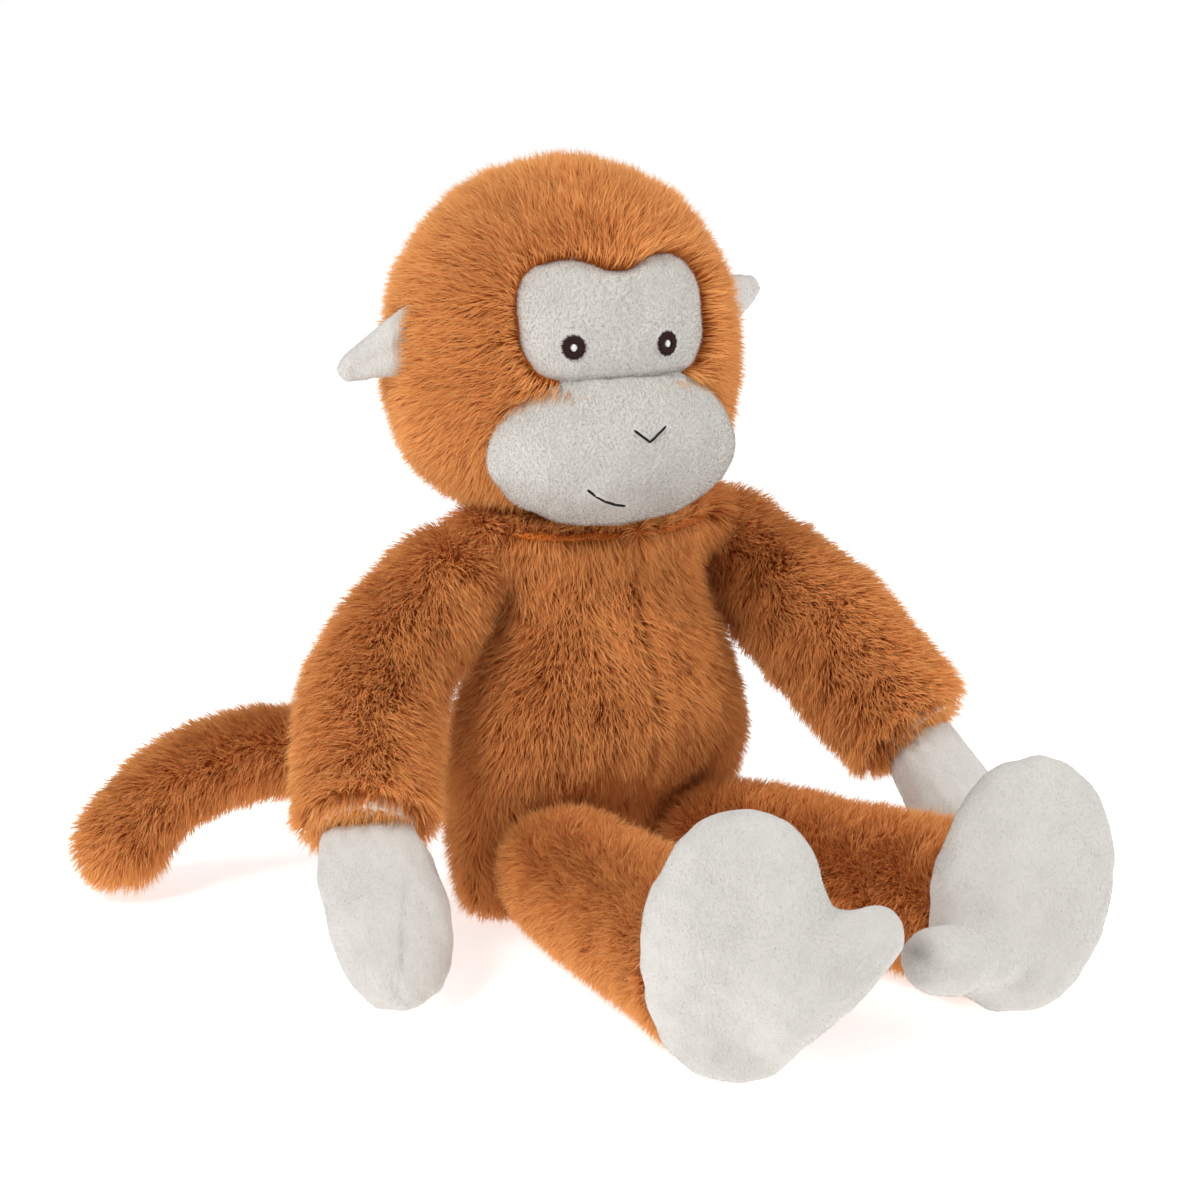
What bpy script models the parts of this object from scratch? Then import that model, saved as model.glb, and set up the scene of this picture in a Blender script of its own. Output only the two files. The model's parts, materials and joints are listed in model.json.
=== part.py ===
"""Stuffed toy monkey, sitting with its legs out, as the sewn panels, white plush pieces,
embroidery and stuffing that it is made of. It faces -Y, its left side is at +X, and the
origin is the middle of the flat seat. All sizes below are in millimetres."""

import math

import bmesh
import bpy
from mathutils import Vector

MM = 0.001

# Cloth and seams
FUR_PANEL = 8.0  # long-pile cloth: backing and the pile that presses down
PLUSH_PANEL = 3.5  # short white plush
SEAM_GAP = 0.4  # between pieces that meet
STUFFING_GAP = 0.4  # between a panel and what fills it
JOINT_GAP = 1.0  # between a limb's round root and the torso

# Torso
TORSO_HEIGHT = 169.5
TORSO_HALF_WIDTH = 67.0
TORSO_FRONT = 51.0
TORSO_BACK = 46.0
TORSO_SEAM_AHEAD = 4.0  # how far the side seams lie ahead of the seat's middle
# Share of the torso's height, and the share of its full width there, from the seat to the neck
TORSO_PROFILE = (
    (0.0, 0.84),
    (0.035, 0.93),
    (0.20, 1.0),
    (0.33, 1.0),
    (0.42, 1.0),
    (0.52, 0.945),
    (0.63, 0.85),
    (0.75, 0.725),
    (0.80, 0.675),
    (0.86, 0.64),
    (0.91, 0.645),
    (0.955, 0.71),
    (1.0, 0.80),
)
BEAN_BAG_HEIGHT = 36.0

# Legs
HIP_SPREAD = 38.0
HIP_FORWARD = 42.0
HIP_HEIGHT = 30.5
THIGH_RADIUS = 27.0
SHIN_RADIUS = 31.0
LEG_LENGTH = 142.0
LEG_DIRECTIONS = {"right": (-16, -140, 6), "left": (33, -138, 6)}

# Feet
FOOT_HALF_WIDTH = 37.0
FOOT_HALF_HEIGHT = 52.0
FOOT_DEPTH = 38.0
FOOT_LIFT = 53.5  # height of the sole's middle
# Share of the foot's depth, share of its full size and share of its lift, from ankle to sole
FOOT_PROFILE = ((0.34, 0.90, 0.8), (0.58, 0.99, 1.0), (0.78, 1.0, 1.0))
ANKLE_WIDTH_SHARE = 0.78  # half width of the foot's root, as a share of the shin's radius
ANKLE_HEIGHT_SHARE = 1.02
SOLE_PROFILE = ((0.78, 1.0, 1.0), (0.90, 0.92, 1.0), (0.97, 0.72, 1.0), (1.0, 0.40, 1.0))
WRIST_SHARE = 0.25  # of a hand or a foot, over which it turns from its limb's direction to its own
TOE_DROP = {"right": 4.0, "left": 18.0}  # below the sole's middle
TOE_RADIUS = 15.0  # where it leaves the foot
TOE_TIP_RADIUS = 10.5
TOE_LENGTH = 25.0  # from the edge of the foot to the toe's tip
SOLE_TURN = {"right": -16.0, "left": -8.0}  # degrees that the sole faces away from straight ahead
SOLE_ROLL = {"right": 3.0, "left": 10.0}  # degrees that the foot's top leans to the toy's left

# Arms
SHOULDER_BACK = 4.0
SHOULDER_DROP = 23.5  # below the top of the torso
SHOULDER_RADIUS = 23.0
ELBOW_RADIUS = 29.0
CUFF_RADIUS = 28.0
UPPER_ARM_LENGTH = 52.0
FOREARM_LENGTH = 62.0
ARM_DIRECTIONS = {
    "right": ((-33, -2, -40), (-22, -34, -44), (-6, -44, -46)),
    "left": ((23, -34, -31), (20, -38, -38), (9, -36, -42)),
}

# Hands
HAND_LENGTH = 78.0
HAND_HALF_WIDTH = 25.0
HAND_HALF_THICKNESS = 17.0
# Share of the hand's length, and the share of its full width there, from the cuff to the tip
HAND_PROFILE = (
    (0.0, 0.0),
    (0.0, 0.72),
    (0.08, 0.84),
    (0.25, 0.95),
    (0.50, 1.0),
    (0.75, 0.88),
    (0.92, 0.60),
    (1.0, 0.0),
)
HAND_WIDTH_DIRECTION = {"right": (0.87, -0.5, 0.0), "left": (0.87, 0.5, 0.0)}

# Head
HEAD_RADIUS = 70.0
HEAD_HEIGHT = TORSO_HEIGHT + HEAD_RADIUS + JOINT_GAP  # height of its middle
HEAD_BACK = 12.0
HEAD_SIDE = -9.0
HEAD_TURN = -5.0  # degrees, towards its right
JAW_POWER = 0.68  # 1 is a round lower half of the head, lower is fuller
FACE_OPENING_RADIUS = 52.76
# How far the flat face opening is ahead of the head's middle
FACE_PLANE = math.sqrt(HEAD_RADIUS**2 - FACE_OPENING_RADIUS**2)
FACE_HALF_WIDTH = 38.0
FACE_TOP = 37.5  # above the head's middle
FACE_NOTCH = 6.0
FACE_BULGE = 15.0
FACE_SQUARENESS = 0.55  # 1 is an ellipse, 0 a rectangle
MUZZLE_HALF_WIDTH = 50.0
MUZZLE_HALF_HEIGHT = 29.5
MUZZLE_BULGE = 33.0
MUZZLE_DROP = 39.0  # its middle, below the head's middle
EYE_RADIUS = 5.2
EYE_SPREAD = 19.8
EYE_LIFT = 5.5
EYE_THICKNESS = 1.2
GLINT_RADIUS = 1.45
GLINT_THICKNESS = 0.5
THREAD_RADIUS = 0.7
NOSE_HALF_WIDTH = 6.5
NOSE_LIFT = 4.0  # its lowest point, above the muzzle's middle
NOSE_DEPTH = 6.0
MOUTH_CORNER = (-23.0, -9.5)  # its outer end, from the muzzle's middle, on the toy's right
MOUTH_WIDTH = 17.0
MOUTH_DEPTH = 8.0  # how far the smile sinks from its corner

# Ears
EAR_HALF_HEIGHT = 12.5
EAR_TIP_HALF_HEIGHT = 6.0
EAR_HALF_THICKNESS = 4.5
EAR_LENGTH = 16.0
EAR_SWEEP = 8.0  # how far the tip lies behind the root
EAR_LIFT = {"right": 0.0, "left": 8.0}  # above the head's middle
EAR_DROOP = {"right": 9.0, "left": -4.0}  # how far the tip hangs below the root

# Tail
TAIL_RADIUS = 18.0
TAIL_TIP_RADIUS = 18.9
TAIL_ROOT = (-10.0, TORSO_BACK + TAIL_RADIUS + JOINT_GAP, 30.0)
TAIL_ROUTE = ((-52, 18, 22), (-50, 10, 6), (-38, 4, -10), (-24, 2, -22))

FUR = ("caramel_fur", (0.50, 0.19, 0.055, 1.0), 0.9)
PLUSH = ("white_plush", (0.74, 0.69, 0.63, 1.0), 0.9)
THREAD = ("dark_thread", (0.03, 0.012, 0.01, 1.0), 0.5)
GLINT = ("white_thread", (0.85, 0.85, 0.84, 1.0), 0.5)
FILLING = ("fibre_filling", (0.85, 0.84, 0.80, 1.0), 0.95)
PELLETS = ("pellet_bag", (0.62, 0.60, 0.55, 1.0), 0.8)

RING = 16  # facets round a limb, a multiple of 4


class Station:
    """One cross-section of a soft tube: its middle, its two half sizes and their directions.
    A power under 1 fills out the corners of the half that lies against `across`."""

    def __init__(self, middle, across, up, half_across, half_up, half_down=None, power=1.0):
        self.middle = Vector(middle)
        self.across = Vector(across)
        self.up = Vector(up)
        self.sizes = (half_across, half_up, half_up if half_down is None else half_down)
        self.power = power

    def point(self, turn):
        half_across, half_up, half_down = self.sizes
        power = self.power if math.cos(turn) < 0 else 1.0
        wide = math.copysign(abs(math.cos(turn)) ** power, math.cos(turn))
        high = math.copysign(abs(math.sin(turn)) ** power, math.sin(turn))
        high *= half_up if high > 0 else half_down
        return self.middle + self.across * (half_across * wide) + self.up * high

    def is_pole(self):
        return self.sizes[0] < 1e-6


def material_of(kind):
    name, colour, roughness = kind
    found = bpy.data.materials.get(name)
    if found:
        return found
    material = bpy.data.materials.new(name)
    material.use_nodes = True
    shader = material.node_tree.nodes["Principled BSDF"]
    shader.inputs["Base Color"].default_value = colour
    shader.inputs["Roughness"].default_value = roughness
    shader.inputs["Metallic"].default_value = 0.0
    material.diffuse_color = colour
    return material


def add_body(name, pivot, parent=None):
    """An empty on the joint that a moving body turns about."""
    empty = bpy.data.objects.new(name, None)
    empty.empty_display_size = 0.02
    bpy.context.scene.collection.objects.link(empty)
    if parent is not None:
        empty.parent = parent
        empty.location = (Vector(pivot) - Vector(parent["pivot_mm"])) * MM
    else:
        empty.location = Vector(pivot) * MM
    empty["pivot_mm"] = list(pivot)
    return empty


def add_piece(name, shape, body, kind):
    """Turns a bmesh in millimetres into a named object that hangs on a body's empty."""
    bmesh.ops.recalc_face_normals(shape, faces=shape.faces)
    pivot = Vector(body["pivot_mm"])
    for vertex in shape.verts:
        vertex.co = (vertex.co - pivot) * MM
    mesh = bpy.data.meshes.new(name)
    shape.to_mesh(mesh)
    shape.free()
    mesh.materials.append(material_of(kind))
    mesh.shade_smooth()
    mesh.set_sharp_from_angle(angle=math.radians(50))
    piece = bpy.data.objects.new(name, mesh)
    bpy.context.scene.collection.objects.link(piece)
    piece.parent = body
    return piece


def ring_of(shape, station, turns, shift):
    """The vertices of one section between two angles, or its single vertex at a pole."""
    if station.is_pole():
        return [shape.verts.new(station.middle + shift)]
    return [shape.verts.new(station.point(turn) + shift) for turn in turns]


def bridge(shape, first, second):
    """Faces between two rows of vertices, either of which may be a single one."""
    if len(first) == 1 and len(second) == 1:
        return
    count = max(len(first), len(second))
    for i in range(count - 1):
        a, b = first[min(i, len(first) - 1)], first[min(i + 1, len(first) - 1)]
        c, d = second[min(i + 1, len(second) - 1)], second[min(i, len(second) - 1)]
        corners = []
        for vertex in (a, b, c, d):
            if vertex not in corners:
                corners.append(vertex)
        shape.faces.new(corners)


def panel(outer, inner, start, end, shift):
    """A sewn panel: the cloth between two surfaces, from one seam angle to the next."""
    shape = bmesh.new()
    steps = max(2, round(RING * (end - start) / (2 * math.pi)))
    turns = [start + (end - start) * i / steps for i in range(steps + 1)]
    skins = [[ring_of(shape, s, turns, shift) for s in side] for side in (outer, inner)]
    for rows in skins:
        for first, second in zip(rows, rows[1:]):
            bridge(shape, first, second)
    for row in range(len(outer) - 1):
        for edge in (0, -1):
            corners = []
            for vertex in (
                skins[0][row][edge],
                skins[0][row + 1][edge],
                skins[1][row + 1][edge],
                skins[1][row][edge],
            ):
                if vertex not in corners:
                    corners.append(vertex)
            if len(corners) > 2:
                shape.faces.new(corners)
    for end_row in (0, -1):
        if not outer[end_row].is_pole():
            bridge(shape, skins[0][end_row], skins[1][end_row])
    return shape


def solid(stations):
    """A closed body through the stations, with flat ends where they aren't poles."""
    shape = bmesh.new()
    turns = [2 * math.pi * i / RING for i in range(RING)]
    rows = [ring_of(shape, s, turns, Vector()) for s in stations]
    for first, second in zip(rows, rows[1:]):
        closed = [r + r[:1] if len(r) > 1 else r for r in (first, second)]
        bridge(shape, *closed)
    for row in (rows[0], rows[-1]):
        if len(row) > 1:
            shape.faces.new(row)
    return shape


def seam_shift(start, end, station):
    """Half a seam gap, away from the seams at both edges of a panel."""
    middle = (start + end) / 2
    away = station.across * math.cos(middle) + station.up * math.sin(middle)
    if end - start < math.pi * 0.9:
        away *= math.sqrt(2)
    return away * (SEAM_GAP / 2)


def smooth_route(points, steps):
    """Points on a smooth curve (Catmull-Rom) through the given ones."""
    ends = [points[0] * 2 - points[1], *points, points[-1] * 2 - points[-2]]
    route = []
    for i in range(1, len(ends) - 2):
        before, here, there, after = ends[i - 1 : i + 3]
        for k in range(steps):
            t = k / steps
            route.append(
                here
                + (there - before) * (t / 2)
                + (before * 2 - here * 5 + there * 4 - after) * (t * t / 2)
                + (here * 3 - before - there * 3 + after) * (t**3 / 2)
            )
    return route + [points[-1]]


def tube_stations(route, radii, side, inset, round_start=True, round_end=False, flat=1.0):
    """Sections along a route. `side` is the seams' rough direction, `flat` the height for width."""
    count = len(route)
    frames = []
    for i in range(count):
        ahead = (route[min(i + 1, count - 1)] - route[max(i - 1, 0)]).normalized()
        up = (Vector(side) - ahead * Vector(side).dot(ahead)).normalized()
        frames.append((ahead, ahead.cross(up), up))
    stations = []
    cap_steps = 4
    if round_start:
        ahead, across, up = frames[0]
        radius = radii[0] - inset
        for k in range(cap_steps):
            lean = math.pi / 2 * k / cap_steps
            middle = route[0] - ahead * (radius * math.cos(lean))
            size = radius * math.sin(lean)
            stations.append(Station(middle, across, up, size, size * flat))
    for i in range(count):
        ahead, across, up = frames[i]
        radius = radii[i] - inset
        stations.append(Station(route[i], across, up, radius, radii[i] * flat - inset))
    if round_end:
        ahead, across, up = frames[-1]
        radius = radii[-1] - inset
        for k in range(cap_steps - 1, -1, -1):
            lean = math.pi / 2 * k / cap_steps
            middle = route[-1] + ahead * (radius * math.cos(lean))
            size = radius * math.sin(lean)
            stations.append(Station(middle, across, up, size, size * flat))
    return stations


def blend(first, last, count):
    return [first + (last - first) * i / (count - 1) for i in range(count)]


def mirror_sign(side):
    return 1 if side == "left" else -1


def scaled(vector, length):
    return Vector(vector).normalized() * length


def add_tube_pieces(body, route, radii, names, seam, round_end=False):
    """Two fur panels, one each side of the seams, and the filling inside them."""
    outer = tube_stations(route, radii, seam, 0, round_end=round_end)
    inner = tube_stations(route, radii, seam, FUR_PANEL, round_end=round_end)
    core = tube_stations(route, radii, seam, FUR_PANEL + STUFFING_GAP, round_end=round_end)
    middle = outer[len(outer) // 2]
    for name, start in zip(names[:2], (0, math.pi)):
        shift = seam_shift(start, start + math.pi, middle)
        add_piece(name, panel(outer, inner, start, start + math.pi, shift), body, FUR)
    add_piece(names[2], solid(core), body, FILLING)


# ---------------------------------------------------------------- torso


def torso_section(height, half_width, back, front):
    """A level section of the torso. Its middle lies in the plane of the side seams."""
    middle = (0, -TORSO_SEAM_AHEAD, height)
    return Station(middle, (1, 0, 0), (0, 1, 0), half_width, back, front)


def torso_share(height):
    """The share of the torso's full width at a height."""
    share = height / TORSO_HEIGHT
    for (low, first), (high, last) in zip(TORSO_PROFILE, TORSO_PROFILE[1:]):
        if low <= share <= high:
            return first + (last - first) * (share - low) / (high - low)
    raise ValueError("height outside the torso")


def torso_stations(inset):
    """Sections from the seat up. The lower front is cut back to make room for the thighs."""
    thigh_room = THIGH_RADIUS + JOINT_GAP
    stations = [torso_section(inset, 0, 0, 0)]
    for share, _ in TORSO_PROFILE:
        z = inset + share * (TORSO_HEIGHT - 2 * inset)
        width = torso_share(z)
        under_belly = HIP_FORWARD - thigh_room * math.sqrt(2) + z - HIP_HEIGHT
        recess = max(HIP_FORWARD - thigh_room, under_belly)
        front = min(TORSO_FRONT * width, recess) - TORSO_SEAM_AHEAD - inset
        back = TORSO_BACK * width + TORSO_SEAM_AHEAD - inset
        stations.append(torso_section(z, TORSO_HALF_WIDTH * width - inset, back, front))
    stations.append(torso_section(TORSO_HEIGHT - inset, 0, 0, 0))
    return stations


def section_at(stations, height):
    """The section at a height, between the two nearest stations."""
    for low, high in zip(stations, stations[1:]):
        if low.middle.z <= height < high.middle.z:
            share = (height - low.middle.z) / (high.middle.z - low.middle.z)
            sizes = [a + (b - a) * share for a, b in zip(low.sizes, high.sizes)]
            return torso_section(height, *sizes)
    raise ValueError("height outside the stations")


def add_torso(body):
    outer = torso_stations(0)
    inner = torso_stations(FUR_PANEL)
    seams = {
        "torso_back_panel": (0, math.pi),
        "torso_front_right_panel": (math.pi, 1.5 * math.pi),
        "torso_front_left_panel": (1.5 * math.pi, 2 * math.pi),
    }
    for name, (start, end) in seams.items():
        shift = seam_shift(start, end, outer[3])
        add_piece(name, panel(outer, inner, start, end, shift), body, FUR)
    core = torso_stations(FUR_PANEL + STUFFING_GAP)
    bag_top = section_at(core, BEAN_BAG_HEIGHT - SEAM_GAP)
    filling_bottom = section_at(core, BEAN_BAG_HEIGHT)
    low = [s for s in core if s.middle.z < bag_top.middle.z - 1 and not s.is_pole()]
    high = [s for s in core if s.middle.z > filling_bottom.middle.z + 1 and not s.is_pole()]
    low = low[1:] if low[1].middle.z - low[0].middle.z < 1e-6 else low
    high = high[:-1] if high[-1].middle.z - high[-2].middle.z < 1e-6 else high
    add_piece("seat_bean_bag", solid(low + [bag_top]), body, PELLETS)
    add_piece("torso_stuffing", solid([filling_bottom] + high), body, FILLING)


# ---------------------------------------------------------------- head


def head_middle():
    return Vector((HEAD_SIDE, HEAD_BACK, HEAD_HEIGHT))


def head_axes():
    """The head's own right-hand, forward and up directions, turned about the neck."""
    turn = math.radians(HEAD_TURN)
    side = Vector((math.cos(turn), math.sin(turn), 0))
    ahead = Vector((math.sin(turn), -math.cos(turn), 0))
    return side, ahead, Vector((0, 0, 1))


def on_head(side, ahead, up):
    """A point given in the head's own directions."""
    right, forward, above = head_axes()
    return head_middle() + right * side + forward * ahead + above * up


def head_stations(inset):
    """Sections from the back of the head to the flat opening for the face."""
    side, _, up = head_axes()
    radius = HEAD_RADIUS - inset
    opening = math.acos(FACE_PLANE / radius)
    count = 9
    stations = []
    for i in range(count):
        lean = math.pi - (math.pi - opening) * i / (count - 1)
        size = 0 if i == 0 else radius * math.sin(lean)
        middle = on_head(0, radius * math.cos(lean), 0)
        stations.append(Station(middle, up, side, size, size, power=JAW_POWER))
    return stations


def outline_solid(layers):
    """A closed body through rings of equally many points."""
    shape = bmesh.new()
    rows = [[shape.verts.new(p) for p in layer] for layer in layers]
    for first, second in zip(rows, rows[1:]):
        bridge(shape, first + first[:1], second + second[:1])
    shape.faces.new(rows[0])
    shape.faces.new(rows[-1])
    return shape


def face_outline(scale):
    """The eye patch: round shoulders, a notch at the top middle and a straight lower edge."""
    base = MUZZLE_HALF_HEIGHT - MUZZLE_DROP + 2 * SEAM_GAP
    middle = (FACE_TOP + base) / 2
    points = []
    count = 28
    for i in range(count):
        turn = 2 * math.pi * i / count
        wide = math.copysign(abs(math.cos(turn)) ** FACE_SQUARENESS, math.cos(turn))
        high = math.copysign(abs(math.sin(turn)) ** FACE_SQUARENESS, math.sin(turn))
        x = FACE_HALF_WIDTH * wide
        z = (FACE_TOP - base) / 2 * high
        if math.sin(turn) > 0:
            z -= FACE_NOTCH * math.exp(-((x / (0.35 * FACE_HALF_WIDTH)) ** 2))
        points.append((x * scale, middle + z * scale))
    return points


def muzzle_point(turn, lean):
    """A point of the muzzle's bulge: `turn` goes round it, `lean` from its rim to its tip."""
    x = MUZZLE_HALF_WIDTH * math.cos(turn) * math.cos(lean)
    z = MUZZLE_HALF_HEIGHT * math.sin(turn) * math.cos(lean)
    y = MUZZLE_BULGE * math.sin(lean)
    return x, y, z - MUZZLE_DROP


def muzzle_half(sign):
    """Half of the muzzle, on one side of its middle seam."""
    plane = FACE_PLANE + SEAM_GAP
    shape = bmesh.new()
    turns = [-math.pi / 2 + math.pi * i / 10 for i in range(11)]
    rows = []
    for lean in (0, 18, 36, 54, 72):
        row = []
        for turn in turns:
            x, y, z = muzzle_point(turn, math.radians(lean))
            row.append(shape.verts.new(on_head(sign * (x + SEAM_GAP / 2), plane + y, z)))
        rows.append(row)
    _, y, z = muzzle_point(0, math.pi / 2)
    rows.append([shape.verts.new(on_head(sign * SEAM_GAP / 2, plane + y, z))])
    for first, second in zip(rows, rows[1:]):
        bridge(shape, first, second)
    shape.faces.new(rows[0])
    left_edge = [row[0] for row in rows]
    right_edge = [row[-1] for row in rows[:-1]]
    shape.faces.new(left_edge + right_edge[::-1])
    return shape


def add_thread(name, points, body):
    """A sewn line of thread: a round cord through the points, with closed ends."""
    pivot = Vector(body["pivot_mm"])
    curve = bpy.data.curves.new(name, "CURVE")
    curve.dimensions = "3D"
    curve.bevel_depth = THREAD_RADIUS * MM
    curve.bevel_resolution = 1
    curve.use_fill_caps = True
    spline = curve.splines.new("POLY")
    spline.points.add(len(points) - 1)
    for place, point in zip(spline.points, points):
        place.co = (*((point - pivot) * MM), 1.0)
    curve.materials.append(material_of(THREAD))
    piece = bpy.data.objects.new(name, curve)
    bpy.context.scene.collection.objects.link(piece)
    piece.parent = body
    return piece


def muzzle_surface(side, up):
    """The point in front of the muzzle at a place on it, clear of it by a thread and a gap."""
    lift = THREAD_RADIUS + SEAM_GAP
    inside = 1 - (side / MUZZLE_HALF_WIDTH) ** 2 - (up / MUZZLE_HALF_HEIGHT) ** 2
    depth = MUZZLE_BULGE * math.sqrt(inside)
    slope = Vector(
        (
            side / MUZZLE_HALF_WIDTH**2,
            depth / MUZZLE_BULGE**2,
            up / MUZZLE_HALF_HEIGHT**2,
        )
    ).normalized()
    ahead = FACE_PLANE + SEAM_GAP + depth
    return on_head(
        side + slope.x * lift, ahead + slope.y * lift, up - MUZZLE_DROP + slope.z * lift
    )


def add_disc(name, middle, ahead, radius, thickness, body, kind):
    """A small round patch of satin stitch."""
    up = Vector((0, 0, 1))
    across = ahead.cross(up).normalized()
    back = Station(middle, across, up, radius, radius)
    front = Station(middle + ahead * thickness, across, up, radius * 0.85, radius * 0.85)
    add_piece(name, solid([back, front]), body, kind)


def add_head(body):
    outer = head_stations(0)
    inner = head_stations(FUR_PANEL)
    for name, start in (("head_left_panel", 0), ("head_right_panel", math.pi)):
        shift = seam_shift(start, start + math.pi, outer[4])
        add_piece(name, panel(outer, inner, start, start + math.pi, shift), body, FUR)
    add_piece("head_stuffing", solid(head_stations(FUR_PANEL + STUFFING_GAP)), body, FILLING)

    plane = FACE_PLANE + SEAM_GAP
    layers = ((0.0, 1.0), (0.45, 0.98), (0.85, 0.92), (1.0, 0.82))
    rings = [
        [on_head(x, plane + FACE_BULGE * depth, z) for x, z in face_outline(scale)]
        for depth, scale in layers
    ]
    add_piece("face_patch", outline_solid(rings), body, PLUSH)
    add_piece("muzzle_left", muzzle_half(1), body, PLUSH)
    add_piece("muzzle_right", muzzle_half(-1), body, PLUSH)

    _, ahead, _ = head_axes()
    front = plane + FACE_BULGE + SEAM_GAP
    glint_front = front + EYE_THICKNESS + SEAM_GAP
    for side in ("left", "right"):
        place = mirror_sign(side) * EYE_SPREAD
        eye = on_head(place, front, EYE_LIFT)
        add_disc(f"eye_{side}", eye, ahead, EYE_RADIUS, EYE_THICKNESS, body, THREAD)
        glint = on_head(place - GLINT_RADIUS, glint_front, EYE_LIFT + GLINT_RADIUS)
        add_disc(f"eye_glint_{side}", glint, ahead, GLINT_RADIUS, GLINT_THICKNESS, body, GLINT)

    nose = [
        muzzle_surface(NOSE_HALF_WIDTH * t, NOSE_LIFT + NOSE_DEPTH * abs(t) ** 1.3)
        for t in [-1 + i / 4 for i in range(9)]
    ]
    add_thread("nose_stitch", nose, body)
    corner_side, corner_up = MOUTH_CORNER
    mouth = [
        muzzle_surface(corner_side + MOUTH_WIDTH * t, corner_up - MOUTH_DEPTH * t * (2 - t))
        for t in [i / 8 for i in range(9)]
    ]
    add_thread("mouth_stitch", mouth, body)


def ear_pivot(side):
    reach = HEAD_RADIUS + EAR_HALF_THICKNESS + JOINT_GAP
    return on_head(mirror_sign(side) * reach, 0, EAR_LIFT[side])


def add_ear(side, body):
    """Two layers of white plush, sewn together round the edge and standing off the head."""
    out, ahead, up = head_axes()
    out = out * mirror_sign(side)
    root = ear_pivot(side)
    count = 6
    layers = {"front": (0, math.pi), "back": (math.pi, 2 * math.pi)}
    stations = []
    for k in range(3):
        lean = math.pi / 2 * k / 3
        middle = root - out * (EAR_HALF_THICKNESS * math.cos(lean))
        size = math.sin(lean)
        high = EAR_HALF_HEIGHT * (0.75 + 0.25 * size) if k else 0
        stations.append(Station(middle, up, ahead, high, EAR_HALF_THICKNESS * size))
    for i in range(count):
        share = i / (count - 1)
        middle = root + out * (EAR_LENGTH * share)
        middle = middle - up * (EAR_DROOP[side] * share) - ahead * (EAR_SWEEP * share)
        high = EAR_HALF_HEIGHT + (EAR_TIP_HALF_HEIGHT - EAR_HALF_HEIGHT) * share
        stations.append(Station(middle, up, ahead, high, EAR_HALF_THICKNESS))
    tip = stations[-1].middle + out * EAR_HALF_THICKNESS
    stations.append(Station(tip, up, ahead, 0, 0))
    for layer, (start, end) in layers.items():
        shift = ahead * ((1 if layer == "front" else -1) * SEAM_GAP / 2)
        add_piece(f"ear_{side}_{layer}", ear_layer(stations, start, end, shift), body, PLUSH)


def ear_layer(stations, start, end, shift):
    """Half of a tube, closed by a flat side where the other half meets it."""
    shape = bmesh.new()
    steps = 6
    turns = [start + (end - start) * i / steps for i in range(steps + 1)]
    rows = [ring_of(shape, s, turns, shift) for s in stations]
    for first, second in zip(rows, rows[1:]):
        bridge(shape, first, second)
    for first, second in zip(rows, rows[1:]):
        edge_a = [first[0], first[-1]] if len(first) > 1 else first
        edge_b = [second[0], second[-1]] if len(second) > 1 else second
        bridge(shape, edge_a, edge_b)
    return shape


# ---------------------------------------------------------------- limbs


def shoulder_place(side):
    """The middle of an arm's round root, as near to the torso as its roundness lets it be."""
    height = TORSO_HEIGHT - SHOULDER_DROP
    reach = SHOULDER_RADIUS + JOINT_GAP
    steps = 12
    lifts = [reach * i / steps for i in range(-steps, steps + 1)]
    spread = max(
        TORSO_HALF_WIDTH * torso_share(height + lift) + math.sqrt(reach**2 - lift**2)
        for lift in lifts
        if height + lift <= TORSO_HEIGHT
    )
    return Vector((mirror_sign(side) * spread, SHOULDER_BACK, height))


def arm_points(side):
    upper, fore, hand = ARM_DIRECTIONS[side]
    shoulder = shoulder_place(side)
    elbow = shoulder + scaled(upper, UPPER_ARM_LENGTH)
    cuff = elbow + scaled(fore, FOREARM_LENGTH)
    return shoulder, elbow, cuff, Vector(hand).normalized()


def arm_route(side):
    return smooth_route(list(arm_points(side)[:3]), 3)


def add_arm(side, body):
    route = arm_route(side)
    radii = blend(SHOULDER_RADIUS, ELBOW_RADIUS, 4) + blend(ELBOW_RADIUS, CUFF_RADIUS, 4)[1:]
    names = (f"arm_{side}_front_panel", f"arm_{side}_back_panel", f"arm_{side}_stuffing")
    add_tube_pieces(body, route, radii, names, (0, -1, 0.4))


def hand_stations(side, inset):
    """Sections from the cuff to the finger tip of a mitten."""
    _, _, cuff, ahead = arm_points(side)
    before, last = arm_route(side)[-2:]
    arm_ahead = (last - before).normalized()
    start = cuff + arm_ahead * (SEAM_GAP + inset)
    stations = []
    for share, size in HAND_PROFILE:
        turn = min(1.0, share / WRIST_SHARE)
        axis = (arm_ahead * (1 - turn) + ahead * turn).normalized()
        wide = Vector(HAND_WIDTH_DIRECTION[side])
        wide = (wide - axis * wide.dot(axis)).normalized()
        middle = start + ahead * ((HAND_LENGTH - 2 * inset) * share)
        across = HAND_HALF_WIDTH * size - inset if size else 0
        thick = HAND_HALF_THICKNESS * size - inset if size else 0
        stations.append(Station(middle, wide, axis.cross(wide), across, thick))
    return stations


def add_hand(side, body):
    outer = hand_stations(side, 0)
    inner = hand_stations(side, PLUSH_PANEL)
    for name, start in ((f"hand_{side}_back", 0), (f"hand_{side}_palm", math.pi)):
        shift = seam_shift(start, start + math.pi, outer[3])
        add_piece(name, panel(outer, inner, start, start + math.pi, shift), body, PLUSH)
    core = hand_stations(side, PLUSH_PANEL + STUFFING_GAP)
    add_piece(f"hand_{side}_stuffing", solid(core), body, FILLING)


def leg_points(side):
    hip = Vector((mirror_sign(side) * HIP_SPREAD, -HIP_FORWARD, HIP_HEIGHT))
    return hip, hip + scaled(LEG_DIRECTIONS[side], LEG_LENGTH)


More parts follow.
